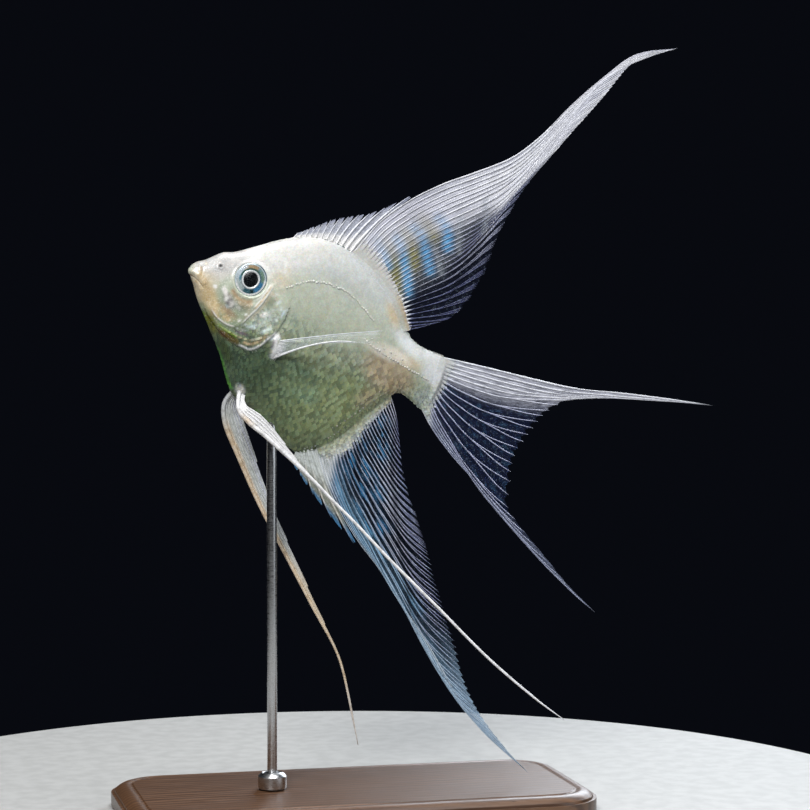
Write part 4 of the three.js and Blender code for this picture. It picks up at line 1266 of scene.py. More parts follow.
ANAL_BLUES = [
    [(49.4, -28.2), (54.4, -32.2), (61.5, -36.8), (69, -41), (78, -47)],
    [(49.8, -22.4), (52.8, -26.2), (57.2, -29.8), (62.6, -33.6)],
    [(50.6, -17.0), (52.6, -20.4), (55.4, -23.6), (59.6, -27.0)],
    [(53.4, -12.2), (54.4, -15.4), (56.2, -18.6)],
]


# How far along each ray the pale root of the anal fin reaches.
ANAL_SHEATH = np.array([(0, 8.6), (0.15, 5.6), (0.35, 3.9), (0.6, 2.4), (0.85, 1.4), (1, 0.9)]).T


def anal_paint(v, s, points, on_ray):
    rear, front = smooth((v - 0.42) / 0.4), smooth((0.3 - v) / 0.16)
    film = strokes(v, s, 84, 16)
    if on_ray:
        colours = start_colours(points, (0.36, 0.37, 0.46), 1.0)
        over(colours, (0.34, 0.52, 0.68), front * smooth((s - 0.1) / 0.2) * 0.8)
        over(colours, (0.62, 0.63, 0.72), rear * smooth((0.5 - s) / 0.3) * 0.6)
        over(colours, (0.07, 0.08, 0.20), (1 - front) * smooth((s - 0.55) / 0.4) * 0.9)
        over(colours, (0.60, 0.62, 0.60), smooth((0.05 - v) / 0.03) * 0.6)
        strength, opacity = 0.5, None
    else:
        colours = start_colours(points, (0.007, 0.013, 0.026), 0.2)
        over(colours, (0.16, 0.34, 0.50), front * (0.3 + 0.7 * film), 0.8)
        strength, opacity = 1.0, 0.85
    glow = 0.3 + 0.6 * film if on_ray else smooth((film - 0.45) / 0.45) * 0.85
    for line in ANAL_BLUES:
        over(colours, (0.03, 0.20, 0.42), bar(points, line, 1.9) * strength * glow, opacity)
    over(colours, (0.22, 0.46, 0.66), bar(points, ANAL_BLUES[0], 1.2) * 0.7 * glow)
    streamer = smooth((points[..., 0] - 84) / 16)
    over(colours, (0.30, 0.42, 0.56), streamer * 0.8, None if on_ray else 0.8)
    root = smooth((np.interp(v, *ANAL_SHEATH) * 1.25 - s * 60 * (1.3 - v)) / 4)
    over(colours, (0.74, 0.77, 0.77), root * (1.0 if on_ray else 0.35 + 0.45 * front), 0.9)
    return colours


def anal_girth(v, run):
    return 0.14 - 0.06 * smooth((v - 0.35) / 0.4) + 0.1 * smooth((6.0 - run) / 3.0)


def anal_skirt(v):
    """How far up its rays the scaled root of the anal fin reaches."""
    fleshy = np.interp(v, (0, 0.12, 0.35), (0.22, 0.5, 1))
    return np.interp(v, *ANAL_SHEATH) * fleshy * (1 + 0.25 * ray_wave(v, ANAL))


def anal_skirt_paint(v, part, points):
    colours = start_colours(points, (0.48, 0.52, 0.40), 1.0)
    over(colours, (0.72, 0.76, 0.74), smooth((part - 0.2) / 0.5) * 0.9)
    over(colours, (0.66, 0.60, 0.48), smooth((v - 0.7) / 0.3) * 0.5)
    return over(colours, (0.40, 0.52, 0.62), smooth((part - 0.75) / 0.25) * 0.6, 0.8)


def tail_paint(v, s, points, on_ray):
    upper, lower = smooth((0.42 - v) / 0.16), smooth((v - 0.74) / 0.14)
    film = strokes(v, s, 64, 26)
    root = smooth((0.1 - s) / 0.08)
    if on_ray:
        colours = start_colours(points, (0.36, 0.38, 0.56), 1.0)
        over(colours, (0.80, 0.81, 0.86), upper * 0.9)
        over(colours, (0.26, 0.29, 0.40), lower * 0.75)
        over(colours, (0.76, 0.79, 0.82), root)
    else:
        colours = start_colours(points, (0.010, 0.018, 0.065), 0.32)
        flecks = (1 - upper) * (1 - lower) * smooth((film - 0.65) / 0.35)
        over(colours, (0.05, 0.13, 0.24), flecks * 0.6, 0.4)
        over(colours, (0.70, 0.71, 0.80), upper * (0.5 + 0.5 * film), 0.88)
        over(colours, (0.13, 0.15, 0.22), lower * 0.9, 0.6)
        over(colours, (0.60, 0.64, 0.70), root, 0.9)
    return colours


def tail_girth(v, run):
    return 0.2 - 0.08 * smooth((v - 0.15) / 0.3) + 0.1 * smooth((5.0 - run) / 3.0)


def tail_skirt(v):
    """How far up its rays the scaled root of the tail fin reaches."""
    reach = np.interp(v, [0, 0.15, 0.5, 0.85, 1], [3.6, 2.6, 1.9, 2.2, 3.2])
    return reach * (1 + 0.3 * ray_wave(v, TAIL))


def tail_skirt_paint(v, part, points):
    colours = start_colours(points, (0.78, 0.80, 0.82), 1.0)
    over(colours, (0.50, 0.58, 0.52), smooth((v - 0.6) / 0.3) * 0.8)
    furrows = (0.5 - 0.5 * ray_wave(v, TAIL)) * (0.25 + 0.45 * smooth((v - 0.2) / 0.4))
    over(colours, (0.34, 0.38, 0.46), furrows * smooth(part / 0.5))
    return over(colours, (0.60, 0.66, 0.76), smooth((part - 0.5) / 0.5) * 0.7, 0.85)


def fin_finish():
    f = Finish("fin skin and rays")
    markings = f.attribute("markings")
    clear = f.attribute("markings", out="Alpha")
    lie = f.put("UVMap", out="UV", uv_map="lie")
    place = f.place()
    fine = f.noise(place, 2600.0, 3.0, 0.6)
    flecks = f.cells(place, 1500.0)
    streaks = f.noise(f.stretched(lie, 9.0, 0.5, 1.0), 1.0, 3.0, 0.6)
    joints = f.bands(f.stretched(lie, 1.0, 2.2, 1.0), Scale=1.0, Distortion=0.8, Detail=1.0)
    light = f.mix(f.span(streaks, 0.35, 0.7, 0.0, 0.6), markings, (0.9, 0.93, 1.0, 1), "SOFT_LIGHT")
    spotted = f.mix(f.span(flecks, 0.0, 0.4, 0.4, 0.0), light, (0.55, 0.7, 0.9, 1), "SCREEN")
    jointed = f.mix(f.span(joints, 0.6, 0.9, 0.0, 0.25), spotted, (0.3, 0.3, 0.4, 1), "MULTIPLY")
    toned = f.mix(f.span(fine, 0.35, 0.65, 0.25, 0.0), jointed, (0.55, 0.55, 0.6, 1), "MULTIPLY")
    thinner = f.span(streaks, 0.3, 0.7, 0.7, 1.3)
    alpha = f.put("Clamp", {0: f.sum("MULTIPLY", clear, thinner)})
    bumps = f.bump(fine, 0.3, 0.00005, f.bump(streaks, 0.4, 0.00008))
    f.material.surface_render_method = "BLENDED"
    return f.surface(
        Base_Color=toned, Alpha=alpha, Roughness=f.span(fine, 0.3, 0.7, 0.28, 0.42), Normal=bumps,
        Subsurface_Weight=0.1, Subsurface_Radius=(0.8, 0.8, 1.0), Subsurface_Scale=0.0004,
        Coat_Weight=0.25, Coat_Roughness=0.15,
    )


# Tips of the spines, from the front: (x, z).
DORSAL_SPINES = [
    (18.9, 18.2), (19.9, 19.2), (20.9, 20.3), (22, 21.3), (23, 22.4), (24.3, 23.7), (26, 25),
    (27.6, 26.1), (29.5, 27.4), (31.6, 28.7), (34.2, 31.3), (38.2, 36),
]
ANAL_SPINES = [(38.6, -28.6), (41.4, -30.4), (45.6, -32.9), (51.4, -35.9), (58.4, -39.1)]


def spine_fin(sheaf, fan, edge, first, last, tips, lean, upward, paint, cell):
    """A row of stout spines, each with a notched web that joins it to the next, or to the fan."""
    roots = along_edge(edge, first, last)(np.linspace(0, 1, len(tips)))
    s = np.linspace(0, 1, 18)
    lines = []
    for root, tip in zip(roots, np.array(tips, float)):
        line = root + (tip - root) * s[:, None]
        length = np.linalg.norm(tip - root)
        bow = lean * s * (1 - s) * length
        line[:, 0] -= bow
        line[:, 1] += 0.4 * bow * upward
        inward = unit(root - tip) * ROOT_DEPTH
        lines.append(np.vstack([line[:1] + inward, line]))
    lines = np.array(lines)
    path = np.stack([lines[..., 0], 0 * lines[..., 0], lines[..., 1]], -1)
    run = np.concatenate([[0], s])
    thick = (0.24 * (1 - run) ** 0.7 + 0.05)[None].repeat(len(tips), 0)
    size = np.linalg.norm(lines[:, -1] - lines[:, 1], axis=-1)
    thick = thick * np.clip(size / 9, 0.45, 1.15)[:, None]
    lie = np.stack(np.meshgrid(run * 30, np.arange(len(tips)))[::-1], -1)
    half = (cell[0], cell[1], cell[2] * 0.5, cell[3])
    sheaf.tubes(path, thick, paint(run[None].repeat(len(tips), 0), True), lie, half)
    reach = size[-1] / fan.reach(0.004)
    onward = flat_point(fan.at(0.004, np.concatenate([[-1.0], s * reach])))
    lines = np.vstack([lines, onward[None]])
    for i in range(len(tips)):
        w = np.linspace(0, 1, 9)[None, :]
        top = 1.0 - 0.1 * smooth((0.3 - w) / 0.3) - 0.4 * smooth((w - 0.45) / 0.55)
        rows = np.concatenate([[-1.0], np.linspace(0, 1, 20)])[:, None]
        here = np.maximum(rows, 0) * top
        a = np.stack([np.interp(here, s, lines[i, 1:, k]) for k in (0, 1)], -1)
        b = np.stack([np.interp(here, s, lines[i + 1, 1:, k]) for k in (0, 1)], -1)
        flat = a + (b - a) * w[..., None]
        inward = lines[i, 0] - lines[i, 1]
        flat = flat + (rows < 0)[..., None] * inward
        points = np.stack([flat[..., 0], 0.05 * np.sin(w * math.pi) + 0 * flat[..., 0], flat[..., 1]], -1)
        colours = paint(here, False)
        lie = np.stack([w + i + 0 * here, here * 30], -1)
        left = cell[0] + cell[2] * (0.5 + 0.5 * i / len(tips))
        sheaf.web(points, colours, lie, (left, cell[1], cell[2] * 0.5 / len(tips), cell[3]))


def spine_paint(spine, web, clearness, root, root_end, tip, tip_start, tip_reach, tip_strength):
    """A paint for spines and the web between them: one colour at the root and another at the tips."""

    def paint(s, on_spine):
        colours = start_colours(s[..., None], spine if on_spine else web, 1.0 if on_spine else clearness)
        over(colours, root, smooth((root_end - s) / 0.3), 1.0)
        return over(colours, tip, smooth((s - tip_start) / tip_reach) * tip_strength)

    return paint


dorsal_spine_paint = spine_paint(
    (0.74, 0.76, 0.82), (0.52, 0.54, 0.62), 0.8, (0.90, 0.89, 0.87), 0.4, (0.30, 0.33, 0.48), 0.7, 0.3, 0.7,
)
anal_spine_paint = spine_paint(
    (0.60, 0.57, 0.48), (0.24, 0.25, 0.20), 0.85, (0.62, 0.66, 0.62), 0.5, (0.03, 0.17, 0.36), 0.72, 0.2, 0.9,
)


class Fin:
    """A fin on the body's outline: its fan of rays and webs, its spines and its fleshy scaled root."""

    def __init__(self, shape, root, skirt, thickness, skirt_paint, seed):
        self.fan, self.sheaf = Fan(shape, root), Sheaf()
        self.skirt, self.thickness, self.skirt_paint = skirt, thickness, skirt_paint
        self.rng = np.random.default_rng(seed)

    def grow(self, girth, paint):
        rays_of(self.fan, self.sheaf, girth, paint, self.rng, (0.0, 0.0, 0.5, 0.85))
        web_of(self.fan, self.sheaf, paint, (0.5, 0.0, 0.5, 0.85))
        root_cell = (0.7, 0.86, 0.3, 0.14)
        skirt_of(self.fan, self.sheaf, self.skirt, self.thickness, self.skirt_paint, root_cell)

    def spines(self, edge, first, last, tips, lean, upward, paint):
        spine_fin(self.sheaf, self.fan, edge, first, last, tips, lean, upward, paint, (0.0, 0.86, 0.69, 0.14))

    def scales(self, size, side, corner):
        return skirt_scales(
            self.fan, self.skirt, self.thickness, size, self.skirt_paint, side, self.rng, corner
        )

    def made(self, name, material, nodes):
        self.sheaf.make(name, material, nodes)
        return self


def dorsal_fin(material):
    fin = Fin(DORSAL, along_edge(back, 31.4, 50.0), dorsal_skirt, 0.42, dorsal_skirt_paint, 3)
    fin.grow(dorsal_girth, dorsal_paint)
    fin.spines(back, 18.4, 31.2, DORSAL_SPINES, 0.16, 1, dorsal_spine_paint)
    nodes = ("dorsal_spines", "dorsal_rays", "dorsal_streamer", "dorsal_streamer_tip")
    return fin.made("dorsal_fin", material, nodes)


def anal_fin(material):
    fin = Fin(ANAL, along_edge(belly, 42.0, 52.6), anal_skirt, 0.45, anal_skirt_paint, 4)
    fin.grow(anal_girth, anal_paint)
    fin.spines(belly, 38.2, 41.2, ANAL_SPINES, 0.13, -1, anal_spine_paint)
    return fin.made("anal_fin", material, ("anal_spines", "anal_rays", "anal_streamer", "anal_streamer_tip"))


def tail_fin(material):
    fin = Fin(TAIL, flowing(TAIL["root"]), tail_skirt, 0.5, tail_skirt_paint, 5)
    fin.grow(tail_girth, tail_paint)
    return fin.made("tail_fin", material, (
        "tail_fin_top", "tail_fin_top_streamer", "tail_fin_middle", "tail_fin_low",
        "tail_fin_low_streamer",
    ))


# Rows of small bright scales: (line of (x, z), spacing, size, colour)
PEARL_ROWS = [
    (LATERAL_LINE, 0.55, 0.36, (0.84, 0.85, 0.80)),
    (LATERAL_LINE_REAR, 0.6, 0.38, (0.90, 0.88, 0.82)),
    (shifted(LATERAL_LINE_REAR[:4], 0, 1.1), 1.3, 0.28, (0.78, 0.77, 0.70)),
    ([(39.4, -24.6), (41.5, -22.7), (43.8, -19.6), (46.1, -15.9), (48.7, -11.2), (51.0, -7.2),
      (53.0, -4.9)], 0.8, 0.3, (0.60, 0.62, 0.56)),
    ([(43.2, -17.8), (46.0, -13.6), (48.6, -9.4), (50.8, -6.0)], 0.9, 0.3, (0.62, 0.60, 0.50)),
    ([(45.4, -12.4), (47.6, -9.0), (49.4, -6.2)], 1.0, 0.28, (0.62, 0.58, 0.46)),
]


def pearl_scales(side, rng):
    """Places, sizes and colours of the scales that stand out in the bright rows."""
    found = []
    for row, (line, spacing, size, colour) in enumerate(PEARL_ROWS):
        curve = flowing(line)
        steps = np.linspace(0, 1, int(length_of(curve) / spacing))
        x, z = (curve(steps) + rng.normal(0, 0.08, (len(steps), 2))).T
        angle = around_skin(x, z, side)
        root = skin_point(x, angle)
        ahead = skin_point(x + STEP_AHEAD, around_skin(x + STEP_AHEAD, z, side))
        along = unit(ahead - root)
        out = outward(x, angle, along, side)
        flat = np.stack([0.02 + 0.96 * steps, 0 * steps + 0.74 + 0.04 * row], -1)
        shade = np.array(colour) * (0.75 + 0.3 * rng.random((len(steps), 1)))
        sizes = size * (0.6 + 0.6 * rng.random(len(steps)))
        found.append((root + out * 0.12, along, out, sizes, flat, rng.random(len(steps)), shade))
    return [np.concatenate(parts) for parts in zip(*found)]


def small_scales(side, name, material, fins):
    """The small scales of the fins' roots and of the bright rows, on one side of the fish."""
    rng = np.random.default_rng(21 + side)
    parts = [pearl_scales(side, rng)]
    for i, (fin, size) in enumerate(fins):
        parts.append(fin.scales(size, side, (0.02, 0.02 + 0.24 * i, 0.96, 0.2)))
    scale_coat(name, material, *[np.concatenate(values) for values in zip(*parts)])


# ---- paired fins ------------------------------------------------------------------------------

PELVIC_LEFT = {
    "middle": [
        (21.6, -1.2, -18.9), (21.9, -2.6, -20.7), (23.0, -3.6, -22.4), (25.4, -4.3, -23.2),
        (28.9, -5.1, -24.3), (33.8, -6, -26.3), (42.6, -7.6, -29.9), (51, -9.4, -33.5),
        (65, -12, -39.5), (76.6, -14, -44), (93, -16.4, -50.4), (106.9, -17.8, -54.5),
        (113.4, -18.4, -55.9),
    ],
    "half_width": [
        (0, 0.9), (0.02, 0.8), (0.05, 1.5), (0.08, 1.9), (0.12, 1.5), (0.18, 0.9), (0.26, 0.4), (1, 0.28),
    ],
    "rays": [(-0.7, 1.0), (-0.25, 0.3), (0.15, 0.24), (0.5, 0.2), (0.82, 0.16)],
}
PELVIC_RIGHT = {
    "middle": [
        (20.9, 1.6, -19.4), (21.2, 3, -22.6), (23.8, 3.8, -26), (28.5, 4.6, -30.4), (37.2, 5.6, -38.4),
        (47.2, 6.6, -46.4), (57.1, 7.6, -54.3), (69.3, 9.4, -64.3), (74.5, 10.3, -71.4),
        (81.3, 11.6, -80.5),
    ],
    "half_width": [
        (0, 1), (0.03, 1.7), (0.08, 2.3), (0.15, 2.15), (0.3, 1.8), (0.5, 1.35), (0.62, 1.05), (0.72, 0.6),
        (1, 0.34),
    ],
    "rays": [(-0.8, 1.0), (-0.45, 0.78), (-0.1, 0.66), (0.2, 0.55), (0.46, 0.42), (0.7, 0.3), (0.92, 0.2)],
}


def pelvic_fin(name, shape, paint, material, nodes):
    """A long blade whose rays end one after another from behind, until the leading thread is left."""
    sheaf = Sheaf()
    middle = flowing(shape["middle"])
    half = np.array(shape["half_width"], float).T
    total = length_of(middle)

    def at(q, u):
        step = 0.004
        tangent = unit(middle(np.clip(u + step, 0, 1)) - middle(np.clip(u - step, 0, 1)))
        across = unit(np.stack([-tangent[..., 2], 0 * tangent[..., 0], tangent[..., 0]], -1))
        return middle(u) + across * (q * np.interp(u, *half))[..., None]

    offsets, ends = np.array(shape["rays"], float).T
    u = np.linspace(0, 1, 90)[None] ** 1.25 * ends[:, None]
    fade = smooth((u / ends[:, None] - 0.55) / 0.45)
    q = offsets[:, None] + 0 * u
    q[0] *= 1 - smooth((u[0] - ends[1]) / 0.1)
    path = at(q, u)
    thick = np.interp(u, *half) * 0.1
    thick[0] = np.interp(u[0], [0, 0.1, 0.3, 0.9, 1], [0.5, 0.5, 0.34, 0.26, 0.08])
    thick[1:] *= 1 - 0.8 * fade[1:]
    lie = np.stack([0 * u + np.arange(len(ends))[:, None], u * total], -1)
    sheaf.tubes(path, thick, paint(q, u, path, True), lie, (0, 0, 0.5, 1), corners=8)
    rows = np.linspace(0, 1, 80)[:, None] ** 1.25
    columns = np.linspace(offsets[0], offsets[-1], 61)[None]
    before = np.clip(np.searchsorted(offsets, columns) - 1, 0, len(offsets) - 2)
    into = (columns - offsets[before]) / np.diff(offsets)[before]
    capped = np.minimum(ends, ends[1] + 0.03)
    reach = capped[before] + (capped[before + 1] - capped[before]) * smooth((into - 0.12) / 0.4)
    u = rows * reach
    points = at(columns + 0 * u, u)
    lie = np.stack([(columns + 0 * u) * 3, u * total], -1)
    sheaf.web(points, paint(columns + 0 * u, u, points, False), lie, (0.5, 0, 0.5, 1))
    sheaf.make(name, material, nodes)


def left_pelvic_paint(q, u, points, _on_ray):
    colours = start_colours(points, (0.86, 0.855, 0.84), 1.0)
    tan = mound(u - 0.066, 0.016) * smooth((-q - 0.1) / 0.5)
    over(colours, (0.62, 0.46, 0.28), tan * 0.8)
    return over(colours, (0.80, 0.80, 0.84), smooth((u - 0.6) / 0.3) * 0.5)


def right_pelvic_paint(q, u, points, on_ray):
    streaks = 0.5 + 0.5 * np.sin(q * 17 + 3 * np.sin(u * 12))
    colours = start_colours(points, (0.66, 0.68, 0.64) if on_ray else (0.56, 0.59, 0.54), 1.0)
    over(colours, (0.62, 0.64, 0.78), smooth(q / 0.5) * streaks * 0.7, None if on_ray else 0.9)
    over(colours, (0.84, 0.62, 0.38), smooth((-q - 0.2) / 0.4) * smooth((u - 0.05) / 0.06) * 0.85)
    over(colours, (0.84, 0.66, 0.44), smooth((u - 0.4) / 0.2) * 0.75)
    over(colours, (0.84, 0.78, 0.70), smooth((u - 0.8) / 0.15) * 0.8)
    return over(colours, (0.66, 0.66, 0.76), smooth((0.06 - u) / 0.05) * streaks * 0.7)


PECTORAL_RAYS = 12
PECTORAL_TIPS = [(43.2, 7.2, 5.6), (43.4, 8.4, 3.6), (41.4, 9.6, 1.8), (37.4, 10.4, 0.4)]


def pectoral_fin(side, name, material, node):
    """A clear fan that stands a little away from the flank, stiffened by its lowest rays."""
    sheaf = Sheaf()
    tips = flowing(PECTORAL_TIPS)
    side_way = np.array([1.0, side, 1.0])

    def at(v, s):
        root = np.stack([23.0 + 1.2 * v, 4.55 + 0.25 * np.sin(v * math.pi), -6.2 - 3.4 * v], -1)
        flat = root + (tips(v) - root) * s[..., None]
        lift = (1.2 + 4.4 * v) * s * (1 - s)
        out = 1.1 * np.sin(np.pi * s)
        return (flat + np.stack([0 * s, out, lift], -1)) * side_way

    v, s = np.meshgrid(np.linspace(0, 1, PECTORAL_RAYS), np.linspace(0, 1, 30), indexing="ij")
    path = at(v, s)
    thick = (0.1 + 0.14 * smooth((v - 0.86) / 0.1) + 0.06 * smooth((0.12 - v) / 0.1)) * (1 - 0.6 * s)
    lie = np.stack([v * PECTORAL_RAYS, s * 20], -1)
    colours = start_colours(path, (0.62, 0.68, 0.70), 0.16)
    over(colours, (0.86, 0.87, 0.88), smooth((v - 0.86) / 0.1), 0.95)
    over(colours, (0.66, 0.70, 0.74), smooth((0.12 - v) / 0.1), 0.75)
    over(colours, (0.80, 0.80, 0.80), smooth((0.14 - s) / 0.1), 0.9)
    sheaf.tubes(path, thick, colours, lie, (0, 0, 0.5, 1))
    v, s = np.meshgrid(np.linspace(0, 1, 67), np.linspace(0, 1, 40))
    scallop = 1 - 0.05 * np.abs(np.sin(v * (PECTORAL_RAYS - 1) * math.pi))
    points = at(v, s * scallop)
    colours = start_colours(points, (0.52, 0.58, 0.58), 0.05)
    over(colours, (0.60, 0.66, 0.70), smooth((0.3 - v) / 0.3), 0.2)
    over(colours, (0.74, 0.75, 0.76), smooth((0.12 - s) / 0.1), 0.85)
    sheaf.web(points, colours, np.stack([v * PECTORAL_RAYS, s * 20], -1), (0.5, 0, 0.5, 1))
    sheaf.make(name, material, (node,))


# ---- eyes -------------------------------------------------------------------------------------

# The eye's outline from its middle outward: (radius, height over the socket's rim, colour).
EYE_RINGS = [
    (0.0, 0.42, (0.001, 0.001, 0.002)), (1.0, 0.38, (0.001, 0.001, 0.002)),
    (1.48, 0.26, (0.001, 0.001, 0.002)), (1.58, 0.14, (0.002, 0.002, 0.003)),
    (1.62, 0.20, (0.80, 0.84, 0.86)), (1.78, 0.26, (0.92, 0.93, 0.93)),
    (1.94, 0.22, (0.80, 0.84, 0.86)), (2.04, 0.17, (0.05, 0.10, 0.13)),
    (2.25, 0.16, (0.06, 0.15, 0.20)), (2.6, 0.12, (0.14, 0.28, 0.33)),
    (2.9, 0.08, (0.24, 0.38, 0.42)), (3.02, 0.05, (0.16, 0.26, 0.30)),
    (3.12, 0.06, (0.62, 0.72, 0.74)), (3.24, 0.05, (0.70, 0.80, 0.82)),
    (3.34, -0.02, (0.05, 0.10, 0.13)), (3.42, -0.06, (0.20, 0.30, 0.32)),
    (3.5, -0.12, (0.55, 0.62, 0.62)), (3.6, -0.5, (0.5, 0.5, 0.48)),
]


# Marks of the iris and its rim: (inner and outer radius, from and to in degrees, colour, strength);
# 0 degrees points to the tail, 90 up and 180 to the snout.
EYE_MARKS = [
    (2.06, 2.42, 55, 190, (0.04, 0.10, 0.06), 0.85),
    (2.38, 3.05, 75, 148, (0.44, 0.28, 0.13), 0.9),
    (2.5, 3.4, 128, 218, (0.66, 0.76, 0.84), 0.85),
    (2.08, 3.1, 198, 258, (0.56, 0.64, 0.62), 0.85),
    (2.1, 2.6, 180, 206, (0.12, 0.30, 0.40), 0.8),
    (2.08, 3.06, 256, 312, (0.03, 0.11, 0.14), 0.9),
    (2.2, 2.75, 291, 309, (0.008, 0.015, 0.01), 0.9),
    (2.04, 3.02, 312, 368, (0.05, 0.22, 0.44), 0.9),
    (2.3, 3.0, 8, 62, (0.20, 0.30, 0.17), 0.7),
    (2.92, 3.36, 212, 378, (1.0, 1.0, 1.0), 1.0),
    (3.36, 3.6, 222, 305, (0.14, 0.24, 0.18), 0.7),
    (3.28, 3.62, 300, 440, (0.01, 0.05, 0.09), 0.9),
]


def eye_finish():
    f = Finish("eye")
    markings = f.attribute("markings")
    lie = f.put("UVMap", out="UV", uv_map="lie")
    streaks = f.noise(f.stretched(lie, 90.0, 1.2, 1.0), 1.0, 3.0, 0.6)
    specks = f.noise(f.place(), 5200.0, 3.0, 0.7)
    toned = f.mix(f.span(streaks, 0.35, 0.7, 0.0, 0.7), markings, (0.8, 0.86, 0.9, 1), "SOFT_LIGHT")
    glints = f.mix(f.span(specks, 0.55, 0.75, 0.0, 0.3), toned, (0.7, 0.8, 0.78, 1), "SCREEN")
    fine = f.mix(f.span(specks, 0.3, 0.55, 0.5, 0.0), glints, (0.3, 0.36, 0.32, 1), "MULTIPLY")
    bumps = f.bump(streaks, 0.2, 0.00005)
    return f.surface(Base_Color=fine, Roughness=f.span(specks, 0.3, 0.7, 0.2, 0.34), Metallic=0.25,
                     Normal=bumps, Coat_Weight=0.8, Coat_Roughness=0.04)


def cornea_finish():
    f = Finish("clear cornea")
    film = f.noise(f.place(), 700.0, 2.0)
    return f.surface(Base_Color=(0.02, 0.03, 0.04, 1), Alpha=f.span(film, 0.3, 0.7, 0.05, 0.09),
                     Roughness=f.span(film, 0.3, 0.7, 0.02, 0.05), Coat_Weight=1.0, Coat_Roughness=0.02)


EYE_EDGE = 3.6  # radius at which the eye's outline ends
CORNEA_RADIUS, CORNEA_HEIGHT = 3.3, 0.62
EYE_SIDE = 3.42  # height of the eye's rim over the plane of symmetry
EYE_TURN = math.radians(9)  # the eyes look a little forward and outward


def eye_place(side, flat, height):
    """Puts points of a turned eye (across, up, height) on one side of the head."""
    c, s = math.cos(EYE_TURN), math.sin(EYE_TURN)
    x = flat[..., 0] * c - height * s
    y = flat[..., 0] * s * 0.6 + height * c
    grow = EYE["height"] / EYE["radius"]
    return np.stack([EYE["x"] + x, side * (EYE_SIDE + y), EYE["z"] + flat[..., 1] * grow], -1)


def turned(rings, side, segments=96):
    """Rings of points around the eye's axis, from the middle outward."""
    turn = np.arange(segments) * 2 * math.pi / segments
    radius, height = np.array(rings, float).T
    flat = radius[:, None, None] * np.stack([np.cos(turn), np.sin(turn)], -1)[None]
    return eye_place(side, flat, height[:, None] + 0 * turn[None]), turn


def ring_faces(rings, segments):
    index = np.arange(rings * segments).reshape(rings, segments)
    beside = np.roll(index, -1, axis=1)
    quads = np.stack([index[:-1], beside[:-1], beside[1:], index[1:]], -1).reshape(-1, 4)
    return [tuple(f) for f in quads] + [tuple(index[-1])]


def eye_colours(fine, turn):
    """Colours of the eye on each ring and at each turn: its rings, then the marks of the iris."""
    radii, _, shades = zip(*EYE_RINGS)
    colours = np.stack([np.interp(fine, radii, channel) for channel in zip(*shades)], -1)
    colours = np.repeat(colours[:, None], len(turn), 1)
    degrees = np.degrees(turn)[None]
    for near, far, start, end, shade, strength in EYE_MARKS:
        aside = np.abs((degrees - (start + end) / 2 + 180) % 360 - 180)
        ring = smooth((fine - near) / 0.1 + 0.5) * smooth((far - fine) / 0.1 + 0.5)
        cover = strength * ring[:, None] * smooth(((end - start) / 2 - aside) / 18 + 0.5)
        lay_over(colours, shade, cover)
    return colours


def eye(side, name, material, node):
    radii, heights, _ = zip(*EYE_RINGS)
    fine = np.concatenate([[0.02], np.linspace(0.1, EYE_EDGE, 90)])
    points, turn = turned(np.stack([fine, np.interp(fine, radii, heights)], -1), side)
    piece = array_mesh(name, in_room(points.reshape(-1, 3)), ring_faces(len(fine), len(turn)))
    tint(piece.data, "markings", eye_colours(fine, turn).reshape(-1, 3))
    lie = np.stack(np.meshgrid(turn / (2 * math.pi), fine), -1).reshape(-1, 2)
    lay_out(piece.data, "lie", lie)
    disc = 0.5 + 0.49 * fine[:, None, None] / EYE_EDGE * np.stack([np.cos(turn), np.sin(turn)], -1)[None]
    lay_out(piece.data, "OFBake", disc.reshape(-1, 2))
    piece.data.uv_layers["lie"].active_render = True
    face_outward(piece)
    finish_piece(piece, material, (node,))


def cornea(side, name, material):
    radius = np.linspace(0.02, CORNEA_RADIUS - 0.01, 30)
    dome = CORNEA_HEIGHT * np.sqrt(1 - (radius / CORNEA_RADIUS) ** 2) - 0.02
    points, turn = turned(np.stack([radius, dome], -1), side, 64)
    piece = array_mesh(name, in_room(points.reshape(-1, 3)), ring_faces(len(radius), len(turn)))
    face_outward(piece)
    finish_piece(piece, material)


# ---- stand ------------------------------------------------------------------------------------

# Bands of the base's moulded edge, from its square lower part inward: (inset, rise), in metres.
BASE_MOULDING = [
    (0.0007, 0.0), (0.0001, 0.0005), (0.0007, 0.00055), (0.0007, 0.0004), (0.0007, 0.0002),
    (0.0008, 0.00005), (0.0004, -0.0002), (0.0005, 0.0), (0.0003, 0.0002),
]
COLLAR_MOULDING = [(0.00045, 0.0005), (0.0005, 0.0003), (0.0002, -0.00015), (0.0002, 0.00015)]
CORNER = 0.012  # radius of the base's corners


def pick(piece, kind, chosen):
    """Selects the faces or edges that chosen picks, and opens the piece for shaping."""
    select_only(piece)
    bpy.context.tool_settings.mesh_select_mode = (False, kind == "EDGE", kind == "FACE")
    mesh = piece.data
    for parts in (mesh.vertices, mesh.edges, mesh.polygons):
        parts.foreach_set("select", [False] * len(parts))
    for part in mesh.edges if kind == "EDGE" else mesh.polygons:
        part.select = chosen(part)
    bpy.ops.object.mode_set(mode="EDIT")


def close_up():
    bpy.ops.object.mode_set(mode="OBJECT")


def faces_up(face):
    return face.normal.z > 0.9


def faces_down(face):
    return face.normal.z < -0.9


def moulded(piece, bands):
    """Works the top of a piece inward and upward, band by band."""
    pick(piece, "FACE", faces_up)
    for inset, rise in bands:
        bpy.ops.mesh.inset(thickness=inset, depth=rise)
    close_up()


def ease_foot(piece, radius):
    """Takes the sharp edge off the underside."""
    pick(piece, "FACE", faces_down)
    bpy.ops.mesh.region_to_loop()
    bpy.ops.mesh.bevel(offset=radius, segments=2, affect="EDGES")
    close_up()


